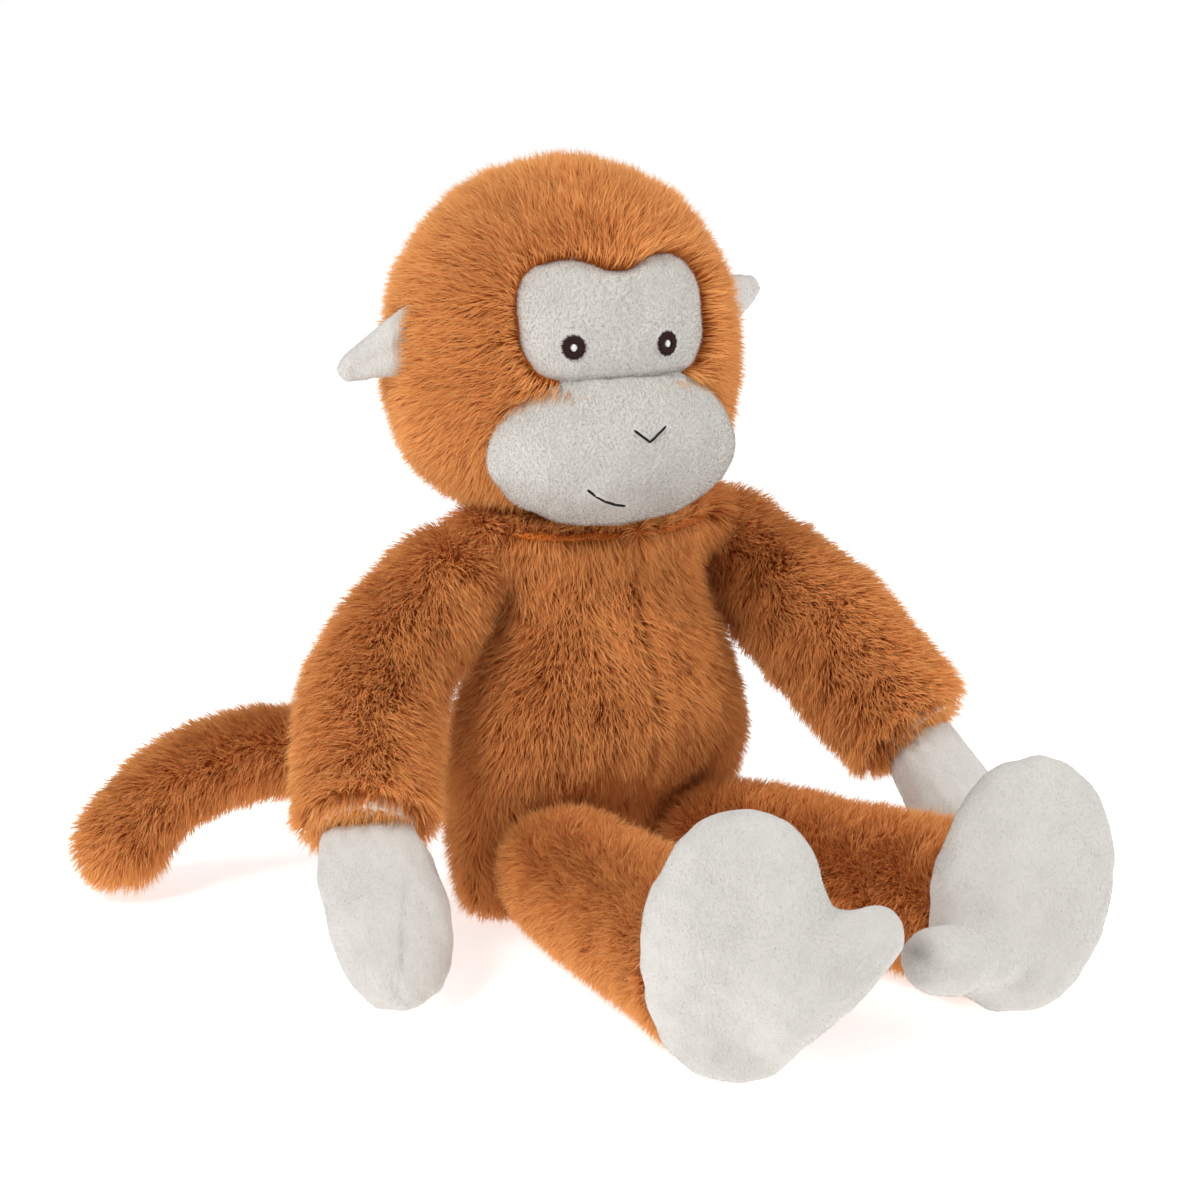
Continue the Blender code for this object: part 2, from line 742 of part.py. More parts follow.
def add_leg(side, body):
    hip, ankle = leg_points(side)
    route = [hip + (ankle - hip) * (i / 4) for i in range(5)]
    radii = blend(THIGH_RADIUS, SHIN_RADIUS, 5)
    names = (f"leg_{side}_upper_panel", f"leg_{side}_under_panel", f"leg_{side}_stuffing")
    add_tube_pieces(body, route, radii, names, (0, 0, 1))


def foot_axes(side):
    turn = math.radians(SOLE_TURN[side])
    ahead = Vector((math.sin(turn), -math.cos(turn), 0.1)).normalized()
    return ahead, *rolled(ahead, SOLE_ROLL[side])


def rolled(ahead, roll):
    """The sideways and upward directions of a section that faces `ahead`, rolled by some degrees."""
    across = ahead.cross(Vector((0, 0, 1))).normalized()
    up = across.cross(ahead)
    cosine, sine = math.cos(math.radians(roll)), math.sin(math.radians(roll))
    return across * cosine + up * sine, up * cosine - across * sine


def foot_stations(side, inset, sole):
    """The foot's sections from the ankle to its sole, or those of the sole alone."""
    _, ankle = leg_points(side)
    ahead, _, _ = foot_axes(side)
    leg_ahead = scaled(LEG_DIRECTIONS[side], 1)
    back = ankle + leg_ahead * SEAM_GAP
    lift = FOOT_LIFT - ankle.z
    half_sizes = (FOOT_HALF_WIDTH, FOOT_HALF_HEIGHT)
    stations = []
    if not sole:
        ankle_sizes = (SHIN_RADIUS * ANKLE_WIDTH_SHARE, SHIN_RADIUS * ANKLE_HEIGHT_SHARE)
        sizes = [size - inset for size in ankle_sizes]
        stations.append(Station(back, *rolled(leg_ahead, 0), *sizes))
    for share, size, rise in SOLE_PROFILE if sole else FOOT_PROFILE:
        place = back + ahead * (FOOT_DEPTH * share) + Vector((0, 0, lift * rise))
        turn = min(1.0, share / WRIST_SHARE)
        axis = (leg_ahead * (1 - turn) + ahead * turn).normalized()
        if sole:
            place = place + ahead * SEAM_GAP
        sizes = [half * size - inset for half in half_sizes]
        stations.append(Station(place, *rolled(axis, SOLE_ROLL[side] * turn), *sizes))
    return stations


def add_foot(side, body):
    """A white boot: two upper panels, a domed sole, a big toe and the filling."""
    outer = foot_stations(side, 0, False)
    inner = foot_stations(side, PLUSH_PANEL, False)
    for name, start in ((f"foot_{side}_top", 0), (f"foot_{side}_heel", math.pi)):
        shift = seam_shift(start, start + math.pi, outer[1])
        add_piece(name, panel(outer, inner, start, start + math.pi, shift), body, PLUSH)
    core = foot_stations(side, PLUSH_PANEL + STUFFING_GAP, False)
    add_piece(f"foot_{side}_stuffing", solid(core), body, FILLING)
    add_piece(f"foot_{side}_sole", solid(foot_stations(side, 0, True)), body, PLUSH)

    ahead, across, up = foot_axes(side)
    inward = across * (1 if across.x * mirror_sign(side) < 0 else -1)
    front = outer[-1].middle
    root = front - ahead * TOE_RADIUS + inward * (FOOT_HALF_WIDTH + SEAM_GAP)
    root = root - up * TOE_DROP[side]
    route = [root + inward * ((TOE_LENGTH - TOE_TIP_RADIUS) * i / 3) for i in range(4)]
    radii = blend(TOE_RADIUS, TOE_TIP_RADIUS, 4)
    toe = tube_stations(route, radii, up, 0, round_start=False, round_end=True)
    add_piece(f"foot_{side}_toe", solid(toe), body, PLUSH)


def tail_points():
    points = [Vector(TAIL_ROOT)]
    for step in TAIL_ROUTE:
        points.append(points[-1] + Vector(step))
    return points


def add_tail(body):
    route = smooth_route(tail_points(), 2)
    radii = blend(TAIL_RADIUS, TAIL_TIP_RADIUS, len(route))
    names = ("tail_upper_panel", "tail_under_panel", "tail_stuffing")
    add_tube_pieces(body, route, radii, names, (0, 0.3, 1), round_end=True)


def build():
    for old in list(bpy.data.objects):
        bpy.data.objects.remove(old, do_unlink=True)
    torso = add_body("torso", (0, 0, 0))
    add_torso(torso)
    head = add_body("head", (HEAD_SIDE, HEAD_BACK, TORSO_HEIGHT), torso)
    add_head(head)
    for side in ("left", "right"):
        add_ear(side, add_body(f"ear_{side}", ear_pivot(side), head))
        arm = add_body(f"arm_{side}", arm_points(side)[0], torso)
        add_arm(side, arm)
        add_hand(side, arm)
        leg = add_body(f"leg_{side}", leg_points(side)[0], torso)
        add_leg(side, leg)
        add_foot(side, leg)
    add_tail(add_body("tail", TAIL_ROOT, torso))


build()
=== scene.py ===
"""The looks of a sitting plush monkey: long caramel fur grown as fine locks, short white plush,
sewn seams and an embroidered face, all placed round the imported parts."""

import json
import math

import bmesh
import bpy
import numpy as np
from bpy.props import (
    FloatProperty,
    FloatVectorProperty,
    IntProperty,
    PointerProperty,
)
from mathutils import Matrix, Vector
from mathutils.bvhtree import BVHTree
from mathutils.kdtree import KDTree

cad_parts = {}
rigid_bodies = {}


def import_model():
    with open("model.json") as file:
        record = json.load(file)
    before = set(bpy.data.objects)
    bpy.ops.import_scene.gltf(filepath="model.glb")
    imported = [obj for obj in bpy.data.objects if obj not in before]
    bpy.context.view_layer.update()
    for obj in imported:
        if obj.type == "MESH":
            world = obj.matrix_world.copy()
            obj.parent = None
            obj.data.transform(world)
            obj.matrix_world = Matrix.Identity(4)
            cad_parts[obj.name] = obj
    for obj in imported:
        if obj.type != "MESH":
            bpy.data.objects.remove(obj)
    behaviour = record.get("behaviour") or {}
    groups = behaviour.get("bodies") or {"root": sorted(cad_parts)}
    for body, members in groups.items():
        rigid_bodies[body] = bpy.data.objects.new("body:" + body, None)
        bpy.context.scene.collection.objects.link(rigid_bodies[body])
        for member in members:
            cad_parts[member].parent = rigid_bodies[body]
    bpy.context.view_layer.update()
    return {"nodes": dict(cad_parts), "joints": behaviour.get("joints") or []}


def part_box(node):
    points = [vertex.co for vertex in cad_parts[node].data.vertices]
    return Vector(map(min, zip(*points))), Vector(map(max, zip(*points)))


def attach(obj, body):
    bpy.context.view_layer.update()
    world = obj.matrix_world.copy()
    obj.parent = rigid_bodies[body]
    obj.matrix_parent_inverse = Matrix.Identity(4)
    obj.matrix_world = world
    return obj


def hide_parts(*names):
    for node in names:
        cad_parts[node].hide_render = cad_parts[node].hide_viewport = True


bl_info = {
    "name": "Plush Monkey",
    "version": (1, 0, 0),
    "blender": (4, 5, 0),
    "location": "3D Viewport > Sidebar > Plush",
    "description": "Grows the fur and sews the white plush and the face of a sitting toy monkey",
    "category": "Object",
}

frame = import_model()
NODES = frame["nodes"]
JOINTS = {joint["name"]: joint for joint in frame["joints"]}
SIDES = ("left", "right")
UP = np.array((0.0, 0.0, 1.0))
MM = 0.001
WHITE = (1.0, 1.0, 1.0)


# ---------------------------------------------------------------- settings


class FurSettings(bpy.types.PropertyGroup):
    """How the long-pile cloth looks."""

    length: FloatProperty(
        name="Pile length", description="Length of a lock", default=0.0115, unit="LENGTH"
    )
    thickness: FloatProperty(
        name="Lock width", description="Width of a lock at its root", default=0.00050, unit="LENGTH"
    )
    density: FloatProperty(
        name="Locks", description="Locks on a square millimetre of cloth", default=2.2, min=0.05
    )
    lean: FloatProperty(
        name="Lean", description="How far a lock leans from upright", default=0.40, subtype="ANGLE"
    )
    tuft: FloatProperty(
        name="Tuft size", description="Width of the tufts it parts into", default=0.0031, unit="LENGTH"
    )
    gather: FloatProperty(
        name="Gather", description="How far the tips of a tuft draw together", default=0.15, max=1.0
    )
    inset: FloatProperty(
        name="Backing depth",
        description="How far the knitted backing lies inside the packed part",
        default=0.0055,
        unit="LENGTH",
    )
    # The root colour is painted shade: it darkens the locks deep in the pile, where the pile shades
    # itself.
    root_shade_colour: FloatVectorProperty(
        name="Root colour", description="Deep in the pile", default=(0.50, 0.130, 0.012), subtype="COLOR"
    )
    tip_colour: FloatVectorProperty(
        name="Tip colour", description="At the tips", default=(1.0, 0.565, 0.215), subtype="COLOR"
    )
    glow: FloatProperty(
        name="Glow", description="Share of the light that passes through a lock", default=0.34
    )
    seed: IntProperty(name="Seed", description="Start of the random draws", default=7)


class PlushSettings(bpy.types.PropertyGroup):
    """How the short white plush and the threads look."""

    colour: FloatVectorProperty(
        name="Plush colour", description="Short white pile", default=(0.555, 0.535, 0.500), subtype="COLOR"
    )
    length: FloatProperty(
        name="Pile length", description="Length of the short pile", default=0.0014, unit="LENGTH"
    )
    thickness: FloatProperty(
        name="Lock width", description="Width of a lock at its root", default=0.00022, unit="LENGTH"
    )
    density: FloatProperty(
        name="Locks", description="Locks on a square millimetre of plush", default=2.0, min=0.05
    )
    lean: FloatProperty(
        name="Lean", description="How far the short pile leans", default=0.95, subtype="ANGLE"
    )
    tuft: FloatProperty(
        name="Tuft size", description="Width of its tufts", default=0.0009, unit="LENGTH"
    )
    gather: FloatProperty(
        name="Gather", description="How far the tips of a tuft draw together", default=0.12, max=1.0
    )
    thread_colour: FloatVectorProperty(
        name="Thread colour", description="Nose and mouth", default=(0.010, 0.006, 0.006), subtype="COLOR"
    )
    iris_colour: FloatVectorProperty(
        name="Eye colour", description="Ring of the eye", default=(0.020, 0.006, 0.005), subtype="COLOR"
    )


class StageSettings(bpy.types.PropertyGroup):
    """Where the camera stands and how bright the studio is."""

    azimuth: FloatProperty(
        name="Azimuth", description="Turn of the camera", default=math.radians(-30), subtype="ANGLE"
    )
    elevation: FloatProperty(
        name="Elevation", description="Height of the camera", default=math.radians(14), subtype="ANGLE"
    )
    distance: FloatProperty(
        name="Distance", description="From the target", default=1.3, unit="LENGTH"
    )
    lens: FloatProperty(name="Lens", description="Focal length in millimetres", default=97.5)
    target: FloatVectorProperty(
        name="Target", description="Point looked at", default=(-0.020, -0.038, 0.141), unit="LENGTH"
    )
    key: FloatProperty(name="Key light", description="Power of the main softbox", default=19.5)
    fill: FloatProperty(name="Fill light", description="Power of the fill softbox", default=16.0)
    sky: FloatProperty(name="Sky", description="Strength of the white surround", default=0.36)
    board: FloatProperty(name="Board", description="Light given off by the board", default=0.66)


# ---------------------------------------------------------------- shader helpers


class Wire:
    """A socket of a material, so that shader maths reads as an expression."""

    def __init__(self, paint, socket):
        self.paint = paint
        self.socket = socket

    def maths(self, operation, first, second):
        node = self.paint.add(
            "ShaderNodeMath", {"operation": operation}, {0: first, 1: second}
        )
        return Wire(self.paint, node.outputs[0])

    def __add__(self, other):
        return self.maths("ADD", self, other)

    def __radd__(self, other):
        return self.maths("ADD", other, self)

    def __sub__(self, other):
        return self.maths("SUBTRACT", self, other)

    def __rsub__(self, other):
        return self.maths("SUBTRACT", other, self)

    def __mul__(self, other):
        return self.maths("MULTIPLY", self, other)

    def __rmul__(self, other):
        return self.maths("MULTIPLY", other, self)


class Paint:
    """A material and the nodes that are added to it."""

    def __init__(self, name):
        self.material = bpy.data.materials.new(name)
        self.material.use_nodes = True
        self.tree = self.material.node_tree
        self.shader = self.tree.nodes["Principled BSDF"]

    def add(self, kind, settings=None, inputs=None):
        """Any node: its settings are made first, then its sockets are set or linked."""
        node = self.tree.nodes.new(kind)
        for key, value in (settings or {}).items():
            setattr(node, key, value)
        for key, value in (inputs or {}).items():
            self.feed(node.inputs[key], value)
        return node

    def feed(self, socket, value):
        if isinstance(value, Wire):
            self.tree.links.new(value.socket, socket)
        elif isinstance(value, bpy.types.NodeSocket):
            self.tree.links.new(value, socket)
        else:
            socket.default_value = value

    def wire(self, node, output=0):
        return Wire(self, node.outputs[output])

    def place(self):
        return self.wire(self.add("ShaderNodeTexCoord"), "Object")

    def noise(self, scale, detail=3.0, vector=None):
        inputs = {"Vector": vector or self.place(), "Scale": scale, "Detail": detail}
        return self.wire(self.add("ShaderNodeTexNoise", {}, inputs), 0)

    def ramp(self, factor, stops):
        """A colour that runs through the stops, each a position and a colour."""
        node = self.add("ShaderNodeValToRGB", {}, {"Fac": factor})
        elements = node.color_ramp.elements
        while len(elements) < len(stops):
            elements.new(1.0)
        for element, (position, colour) in zip(elements, stops):
            element.position = position
            element.color = (*colour, 1.0)
        return self.wire(node)

    def mix(self, factor, first, second, blend="MIX"):
        colours = [(*c, 1.0) if isinstance(c, tuple) else c for c in (first, second)]
        node = self.add(
            "ShaderNodeMix", {"data_type": "RGBA", "blend_type": blend, "clamp_factor": True}
        )
        self.feed(node.inputs[0], factor)
        self.feed(node.inputs[6], colours[0])
        self.feed(node.inputs[7], colours[1])
        return self.wire(node, 2)

    def bump(self, height, strength, distance):
        inputs = {"Height": height, "Strength": strength, "Distance": distance}
        self.feed(self.shader.inputs["Normal"], self.wire(self.add("ShaderNodeBump", {}, inputs)))

    def let_light_through(self, share, colour):
        """Mixes in a share of light that comes through from behind."""
        thin = self.add("ShaderNodeBsdfTranslucent", {}, {"Color": (*colour, 1.0)})
        mixed = self.add(
            "ShaderNodeMixShader",
            {},
            {0: share, 1: self.shader.outputs[0], 2: thin.outputs[0]},
        )
        output = self.tree.nodes["Material Output"]
        self.feed(output.inputs["Surface"], mixed.outputs[0])

    def finish(self, **values):
        """Sets the shader's own sockets by name, with underscores for spaces."""
        for key, value in values.items():
            if isinstance(value, tuple):
                value = (*value, 1.0)
            self.feed(self.shader.inputs[key.replace("_", " ")], value)
        return self.material


def shade_of(colour, factor):
    return tuple(min(1.0, channel * factor) for channel in colour)


MATERIALS = {}


def material(name, maker):
    """One material for each finish, made when it is first used."""
    if name not in MATERIALS:
        MATERIALS[name] = maker(name)
    return MATERIALS[name]


def pile_paint(name, along, shades, **values):
    """Paint for fine locks: it runs from root to tip, with painted shade at the root, in tones that change
    from tuft to tuft.
    """
    paint = Paint(name)
    place = paint.add("ShaderNodeUVMap", {"uv_map": "OFBake"})
    split = paint.add("ShaderNodeSeparateXYZ", {}, {0: paint.wire(place)})
    tone, height = paint.wire(split, 0), paint.wire(split, 1)
    colour = paint.mix(1.0, paint.ramp(height, along), paint.ramp(tone, shades), "MULTIPLY")
    paint.finish(Base_Color=colour, **values)
    return paint


def fur_material(name):
    """Long locks that run from a root darkened with painted shade, deep in the pile, to a light tip."""
    fur = bpy.context.scene.plush_fur
    root, tip = tuple(fur.root_shade_colour), tuple(fur.tip_colour)
    middle = tuple(r * 0.45 + t * 0.55 for r, t in zip(root, tip))
    # The run from root to tip is painted shade deep in the pile; the tones from tuft to tuft differ at
    # random.
    along = ((0.0, root), (0.5, middle), (1.0, tip))
    shades = ((0.0, (0.72, 0.62, 0.52)), (0.5, (0.92, 0.89, 0.86)), (1.0, WHITE))
    paint = pile_paint(name, along, shades, Roughness=0.7, Specular_IOR_Level=0.08)
    paint.let_light_through(fur.glow, shade_of(tip, 0.95))
    return paint.material


def backing_material(name):
    """The knitted cloth that the pile is rooted in."""
    fur = bpy.context.scene.plush_fur
    paint = Paint(name)
    # The backing's colour is drawn from the root colour, whose darkness is painted shade.
    root = tuple(fur.root_shade_colour)
    knit = paint.noise(900.0, 2.0)
    colour = paint.mix(knit, shade_of(root, 0.7), shade_of(root, 1.25))
    paint.bump(knit, 0.4, 0.0006)
    return paint.finish(Base_Color=colour, Roughness=0.95)


def plush_material(name):
    """Short white pile: a velvet with small patches brushed different ways."""
    plush = bpy.context.scene.plush_white
    paint = Paint(name)
    colour = tuple(plush.colour)
    place = paint.place()
    patch = paint.noise(70.0, 3.0, place)
    speck = paint.noise(1100.0, 2.0, place)
    streak = paint.wire(
        paint.add("ShaderNodeMapping", {}, {"Vector": place, "Scale": (1.0, 1.0, 0.35)})
    )
    nap = paint.noise(620.0, 3.0, streak)
    mask = patch * 0.45 + speck * 0.3 + nap * 0.25
    shade = paint.ramp(
        mask, ((0.30, shade_of(colour, 0.88)), (0.5, colour), (0.72, shade_of(colour, 1.06)))
    )
    paint.bump(nap * 0.6 + speck * 0.4, 0.55, 0.0012)
    return paint.finish(
        Base_Color=shade, Roughness=0.92, Specular_IOR_Level=0.2, Sheen_Weight=0.35, Sheen_Roughness=0.45
    )


def nap_material(name):
    """The fine locks of the short white pile."""
    colour = tuple(bpy.context.scene.plush_white.colour)
    # Darker at the root than at the tip: painted shade deep in the short pile.
    along = ((0.0, shade_of(colour, 0.94)), (1.0, shade_of(colour, 1.06)))
    shades = ((0.0, (0.92, 0.915, 0.90)), (0.6, (0.98, 0.978, 0.975)), (1.0, WHITE))
    paint = pile_paint(name, along, shades, Roughness=0.85, Specular_IOR_Level=0.15)
    paint.let_light_through(0.3, colour)
    return paint.material


def thread_material(name):
    """Twisted embroidery thread."""
    plush = bpy.context.scene.plush_white
    paint = Paint(name)
    base = {"iris_thread": tuple(plush.iris_colour), "nose_thread": tuple(plush.thread_colour)}
    colour = base.get(name, (0.74, 0.71, 0.70))
    twist = paint.noise(2600.0, 2.0)
    shade = paint.mix(twist, shade_of(colour, 0.6), shade_of(colour, 1.5))
    paint.bump(twist, 0.3, 0.0002)
    return paint.finish(Base_Color=shade, Roughness=0.75, Specular_IOR_Level=0.2)


def filling_material(name):
    """Crimped fibre filling, or the cotton of the pellet bag."""
    paint = Paint(name)
    colour = (0.84, 0.83, 0.80) if name == "fibre_filling" else (0.60, 0.57, 0.51)
    crimp = paint.noise(260.0, 5.0)
    shade = paint.mix(crimp, shade_of(colour, 0.8), colour)
    paint.bump(crimp, 0.8, 0.002)
    return paint.finish(Base_Color=shade, Roughness=0.97)


# ---------------------------------------------------------------- mesh helpers


def give_finish(mesh, finish):
    mesh.materials.clear()
    mesh.materials.append(finish)


def link(name, mesh, finish=None, smooth=True):
    """A new object that shows a mesh."""
    piece = bpy.data.objects.new(name, mesh)
    bpy.context.scene.collection.objects.link(piece)
    if finish is not None:
        give_finish(mesh, finish)
    if smooth:
        mesh.shade_smooth()
    return piece


def points_of(mesh):
    points = np.empty(len(mesh.vertices) * 3, np.float32)
    mesh.vertices.foreach_get("co", points)
    return points.reshape(-1, 3).astype(float)


def normals_of(mesh):
    normals = np.empty(len(mesh.vertices) * 3, np.float32)
    mesh.vertex_normals.foreach_get("vector", normals)
    return normals.reshape(-1, 3).astype(float)


def set_points(mesh, points):
    mesh.vertices.foreach_set("co", points.astype(np.float32).ravel())
    mesh.update()


def corner(node, which):
    return np.array(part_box(node)[which], float)


def middle_of(*nodes):
    low = np.min([corner(node, 0) for node in nodes], axis=0)
    high = np.max([corner(node, 1) for node in nodes], axis=0)
    return (low + high) / 2


def pivot_of(joint):
    return np.array(JOINTS[joint]["pos_m"], float)


def unit(vectors):
    return vectors / np.maximum(np.linalg.norm(vectors, axis=-1, keepdims=True), 1e-12)


def shape_of(node):
    """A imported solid's corners and faces."""
    mesh = NODES[node].data
    return points_of(mesh), [list(face.vertices) for face in mesh.polygons]


def ball(subdivisions):
    """Corners and faces of a unit ball of nearly even triangles."""
    shape = bmesh.new()
    bmesh.ops.create_icosphere(shape, subdivisions=subdivisions, radius=1.0)
    points = np.array([vertex.co for vertex in shape.verts])
    faces = [[vertex.index for vertex in face.verts] for face in shape.faces]
    shape.free()
    return points, faces


def hull_of(points):
    """Corners and faces of the tight skin round a cloud of points."""
    shape = bmesh.new()
    for point in points:
        shape.verts.new(point)
    made = bmesh.ops.convex_hull(shape, input=shape.verts, use_existing_faces=False)
    loose = set(made["geom_interior"]) | set(made["geom_unused"])
    bmesh.ops.delete(shape, geom=[g for g in loose if isinstance(g, bmesh.types.BMVert)])
    shape.verts.index_update()
    hull = np.array([vertex.co for vertex in shape.verts])
    faces = [[vertex.index for vertex in face.verts] for face in shape.faces]
    shape.free()
    return hull, faces


def skin_over(name, shapes, voxel, smoothing=6, inset=0.0):
    """One closed skin round several shapes, as a new object."""
    points, faces, start = [], [], 0
    for corners, sides in shapes:
        points.append(corners)
        faces += [[start + i for i in side] for side in sides]
        start += len(corners)
    mesh = bpy.data.meshes.new(name)
    mesh.from_pydata(np.concatenate(points).tolist(), [], faces)
    piece = link(name, mesh, None, False)
    reskin(piece, voxel, smoothing, inset)
    return piece


def reskin(piece, voxel, smoothing=0, inset=0.0):
    """Gives a piece an even new skin, smoothed and drawn in."""
    remesh = piece.modifiers.new("remesh", "REMESH")
    remesh.mode = "VOXEL"
    remesh.voxel_size = voxel
    if smoothing:
        smooth = piece.modifiers.new("smooth", "SMOOTH")
        smooth.iterations = smoothing
        smooth.factor = 0.5
    if inset:
        shrink = piece.modifiers.new("shrink", "DISPLACE")
        shrink.mid_level = 0.0
        shrink.strength = -inset
    bake_modifiers(piece)


def bake_modifiers(piece):
    """Replaces a piece's mesh by what its modifiers make of it."""
    graph = bpy.context.evaluated_depsgraph_get()
    mesh = bpy.data.meshes.new_from_object(piece.evaluated_get(graph))
    mesh.name = piece.name
    piece.modifiers.clear()
    old = piece.data
    piece.data = mesh
    bpy.data.meshes.remove(old)


def subdivide(piece):
    modifier = piece.modifiers.new("subdivide", "SUBSURF")
    modifier.levels = modifier.render_levels = 1
    bake_modifiers(piece)


def fill(piece, most):
    """Stuffs a sewn piece: pressure stretches its cloth, by no more than a given distance."""
    rest = points_of(piece.data)
    cloth = piece.modifiers.new("cloth", "CLOTH")
    cloth.settings.quality = 6
    cloth.settings.mass = 0.25
    cloth.settings.tension_stiffness = 12
    cloth.settings.compression_stiffness = 12
    cloth.settings.bending_stiffness = 0.4
    cloth.settings.use_pressure = True
    cloth.settings.uniform_pressure_force = 4
    cloth.settings.effector_weights.gravity = 0
    for step in range(1, 21):
        bpy.context.scene.frame_set(step)
    bake_modifiers(piece)
    bpy.context.scene.frame_set(1)
    moved = points_of(piece.data) - rest
    moved -= moved.mean(0)
    far = np.linalg.norm(moved, axis=1, keepdims=True)
    set_points(piece.data, rest + moved * np.minimum(1, most / np.maximum(far, 1e-9)))


def lift_above(piece, height):
    """Keeps a soft piece above the board that it rests on."""
    points = points_of(piece.data)
    points[:, 2] = np.maximum(points[:, 2], height)
    set_points(piece.data, points)


def gap_to_line(points, line):
    """How far each point is from a line through several places."""
    nearest = np.full(len(points), np.inf)
    for start, end in zip(line, line[1:]):
        along = end - start
        share = np.clip(((points - start) @ along) / (along @ along), 0, 1)[:, None]
        nearest = np.minimum(nearest, np.linalg.norm(points - start - share * along, axis=1))
    return nearest


def sew_seam(piece, line, depth, width):
    """Pulls the cloth in along a seam."""
    points, normals = points_of(piece.data), normals_of(piece.data)
    pull = depth * np.exp(-((gap_to_line(points, line) / width) ** 2))
    set_points(piece.data, points - normals * pull[:, None])


def crumple(piece, amount, size, seed):
    """Soft unevenness of a hand-stuffed piece."""
    points, normals = points_of(piece.data), normals_of(piece.data)
    uneven = waves(points, size, seed) + 0.5 * waves(points, size * 0.45, seed + 5)
    set_points(piece.data, points + normals * (uneven * amount)[:, None])


def waves(points, size, seed):
    """A smooth noise between about -1 and 1, made of a few sine waves in set directions."""
    rng = np.random.default_rng(seed)
    total = np.zeros(len(points))
    for _ in range(6):
        direction = unit(rng.normal(size=3)) * (2 * np.pi / size) * rng.uniform(0.6, 1.5)
        total += np.sin(points @ direction + rng.uniform(0, 2 * np.pi))
    return total / 2.6


# ---------------------------------------------------------------- fur


def scatter(mesh, count, rng):
    """Evenly spread roots on a mesh, with the smooth normal at each."""
    mesh.calc_loop_triangles()
    corners = np.empty(len(mesh.loop_triangles) * 3, np.int32)
    mesh.loop_triangles.foreach_get("vertices", corners)
    corners = corners.reshape(-1, 3)
    points, normals = points_of(mesh), normals_of(mesh)
    a, b, c = (points[corners[:, k]] for k in range(3))
    area = np.linalg.norm(np.cross(b - a, c - a), axis=1) / 2
    total = int(count * area.sum() * 1e6)
    steps = np.cumsum(area) / area.sum()
    picked = np.searchsorted(steps, (np.arange(total) + rng.random(total)) / total)
    picked = np.minimum(picked, len(corners) - 1)
    u, v = np.sqrt(rng.random(total)), rng.random(total)
    shares = np.stack([1 - u, u * (1 - v), u * v], axis=1)[..., None]
    roots = (points[corners[picked]] * shares).sum(1)
    return roots, unit((normals[corners[picked]] * shares).sum(1))


def tangent(direction, normals):
    """The part of a direction that lies along the cloth."""
    direction = np.broadcast_to(direction, normals.shape)
    along = direction - normals * (direction * normals).sum(1, keepdims=True)
    return unit(along)


SWAY_WIDTH, SWIRL_WIDTH, TONE_WIDTH = 0.034, 0.015, 0.045  # how broad the pile's drifts are
BEND = 0.34  # how much further than its lower half a lock's upper half leans
DROOP = 0.12
LOWER_SHARE = 0.52  # of a lock's length, up to its bend
ROOT_DEPTH = 0.0008
TUFT_EDGE_WIDTH, TUFT_EDGE_DEPTH = 0.011, 0.0016  # the waves along the edges of a tuft
LOWEST_TIP = 0.0004  # above the board
REST_HEIGHT, FACING_DOWN = 0.004, -0.5  # roots pressed on the board carry no lock
FREE_SHARE = 0.45  # of a lock's length, which has to be free of other pieces


def grow(pile, roots, normals, comb, length, seed, lean_share=1.0):
    """The corners and the tone of one lock for each root, in the manner of a kind of pile."""
    rng = np.random.default_rng(seed)
    count = len(roots)
    sway = waves(roots, SWAY_WIDTH, seed + 1)[:, None]
    swirl = waves(roots, SWIRL_WIDTH, seed + 2)[:, None]
    side = np.cross(normals, comb)
    comb = unit(comb + side * (0.35 * sway + 0.45 * swirl + rng.normal(0, 0.60, (count, 1))))
    lean = pile.lean * lean_share + 0.16 * swirl[:, 0] + rng.normal(0, 0.22, count)
    lean = np.clip(lean, 0.03, 1.35)[:, None]
    spread = np.clip(rng.normal(1.0, 0.14, count) + 0.08 * sway[:, 0], 0.45, 1.35)
    long = (length * spread)[:, None]
    first = unit(normals * np.cos(lean) + comb * np.sin(lean))
    bend = np.clip(lean + BEND, 0, 1.45)
    last = unit(normals * np.cos(bend) + comb * np.sin(bend) - UP * DROOP)
    spine = np.empty((3, count, 3))
    spine[0] = roots - first * ROOT_DEPTH
    spine[1] = spine[0] + first * long * LOWER_SHARE
    spine[2] = spine[1] + last * long * (1 - LOWER_SHARE)
    edge = np.stack([waves(roots, TUFT_EDGE_WIDTH, seed + 3 + k) for k in range(3)], axis=1)
    cells = np.floor((roots + edge * TUFT_EDGE_DEPTH) / pile.tuft).astype(np.int64)
    keys = cells @ np.array((73856093, 19349663, 83492791))
    _, tuft = np.unique(keys, return_inverse=True)
    tuft = tuft.reshape(-1)
    size = np.bincount(tuft)[:, None]
    for k, pull in ((1, 0.35), (2, 1.0)):
        centre = np.stack([np.bincount(tuft, spine[k][:, i]) for i in range(3)], axis=1) / size
        spine[k] += (centre[tuft] - spine[k]) * (pull * pile.gather)
    tuft_tone = rng.random(len(size))[tuft]
    tone = 0.55 + 0.14 * waves(roots, TONE_WIDTH, seed + 9) + 0.20 * (tuft_tone - 0.5)
    tone = np.clip(tone + rng.normal(0, 0.10, count), 0.02, 0.98)
    heading = unit(spine[2] - spine[0])
    flat = unit(np.cross(heading, normals))
    other = np.cross(heading, flat)
    roll = rng.uniform(-1.4, 1.4, (count, 1))
    across = (flat * np.cos(roll) + other * np.sin(roll)) * (pile.thickness / 2)
    corners = np.empty((count, 5, 3), np.float32)
    for k, width in enumerate((1.0, 0.85)):
        corners[:, 2 * k] = spine[k] - across * width
        corners[:, 2 * k + 1] = spine[k] + across * width
    corners[:, 4] = spine[2]
    return corners, tone


LOCK_FACES = ((0, 1, 3, 2), (2, 3, 4))
LOCK_HEIGHTS = (0.03, 0.03, 0.52, 0.52, 0.97)
LOCK_SIDES = (-1, 1, -1, 1, 0)


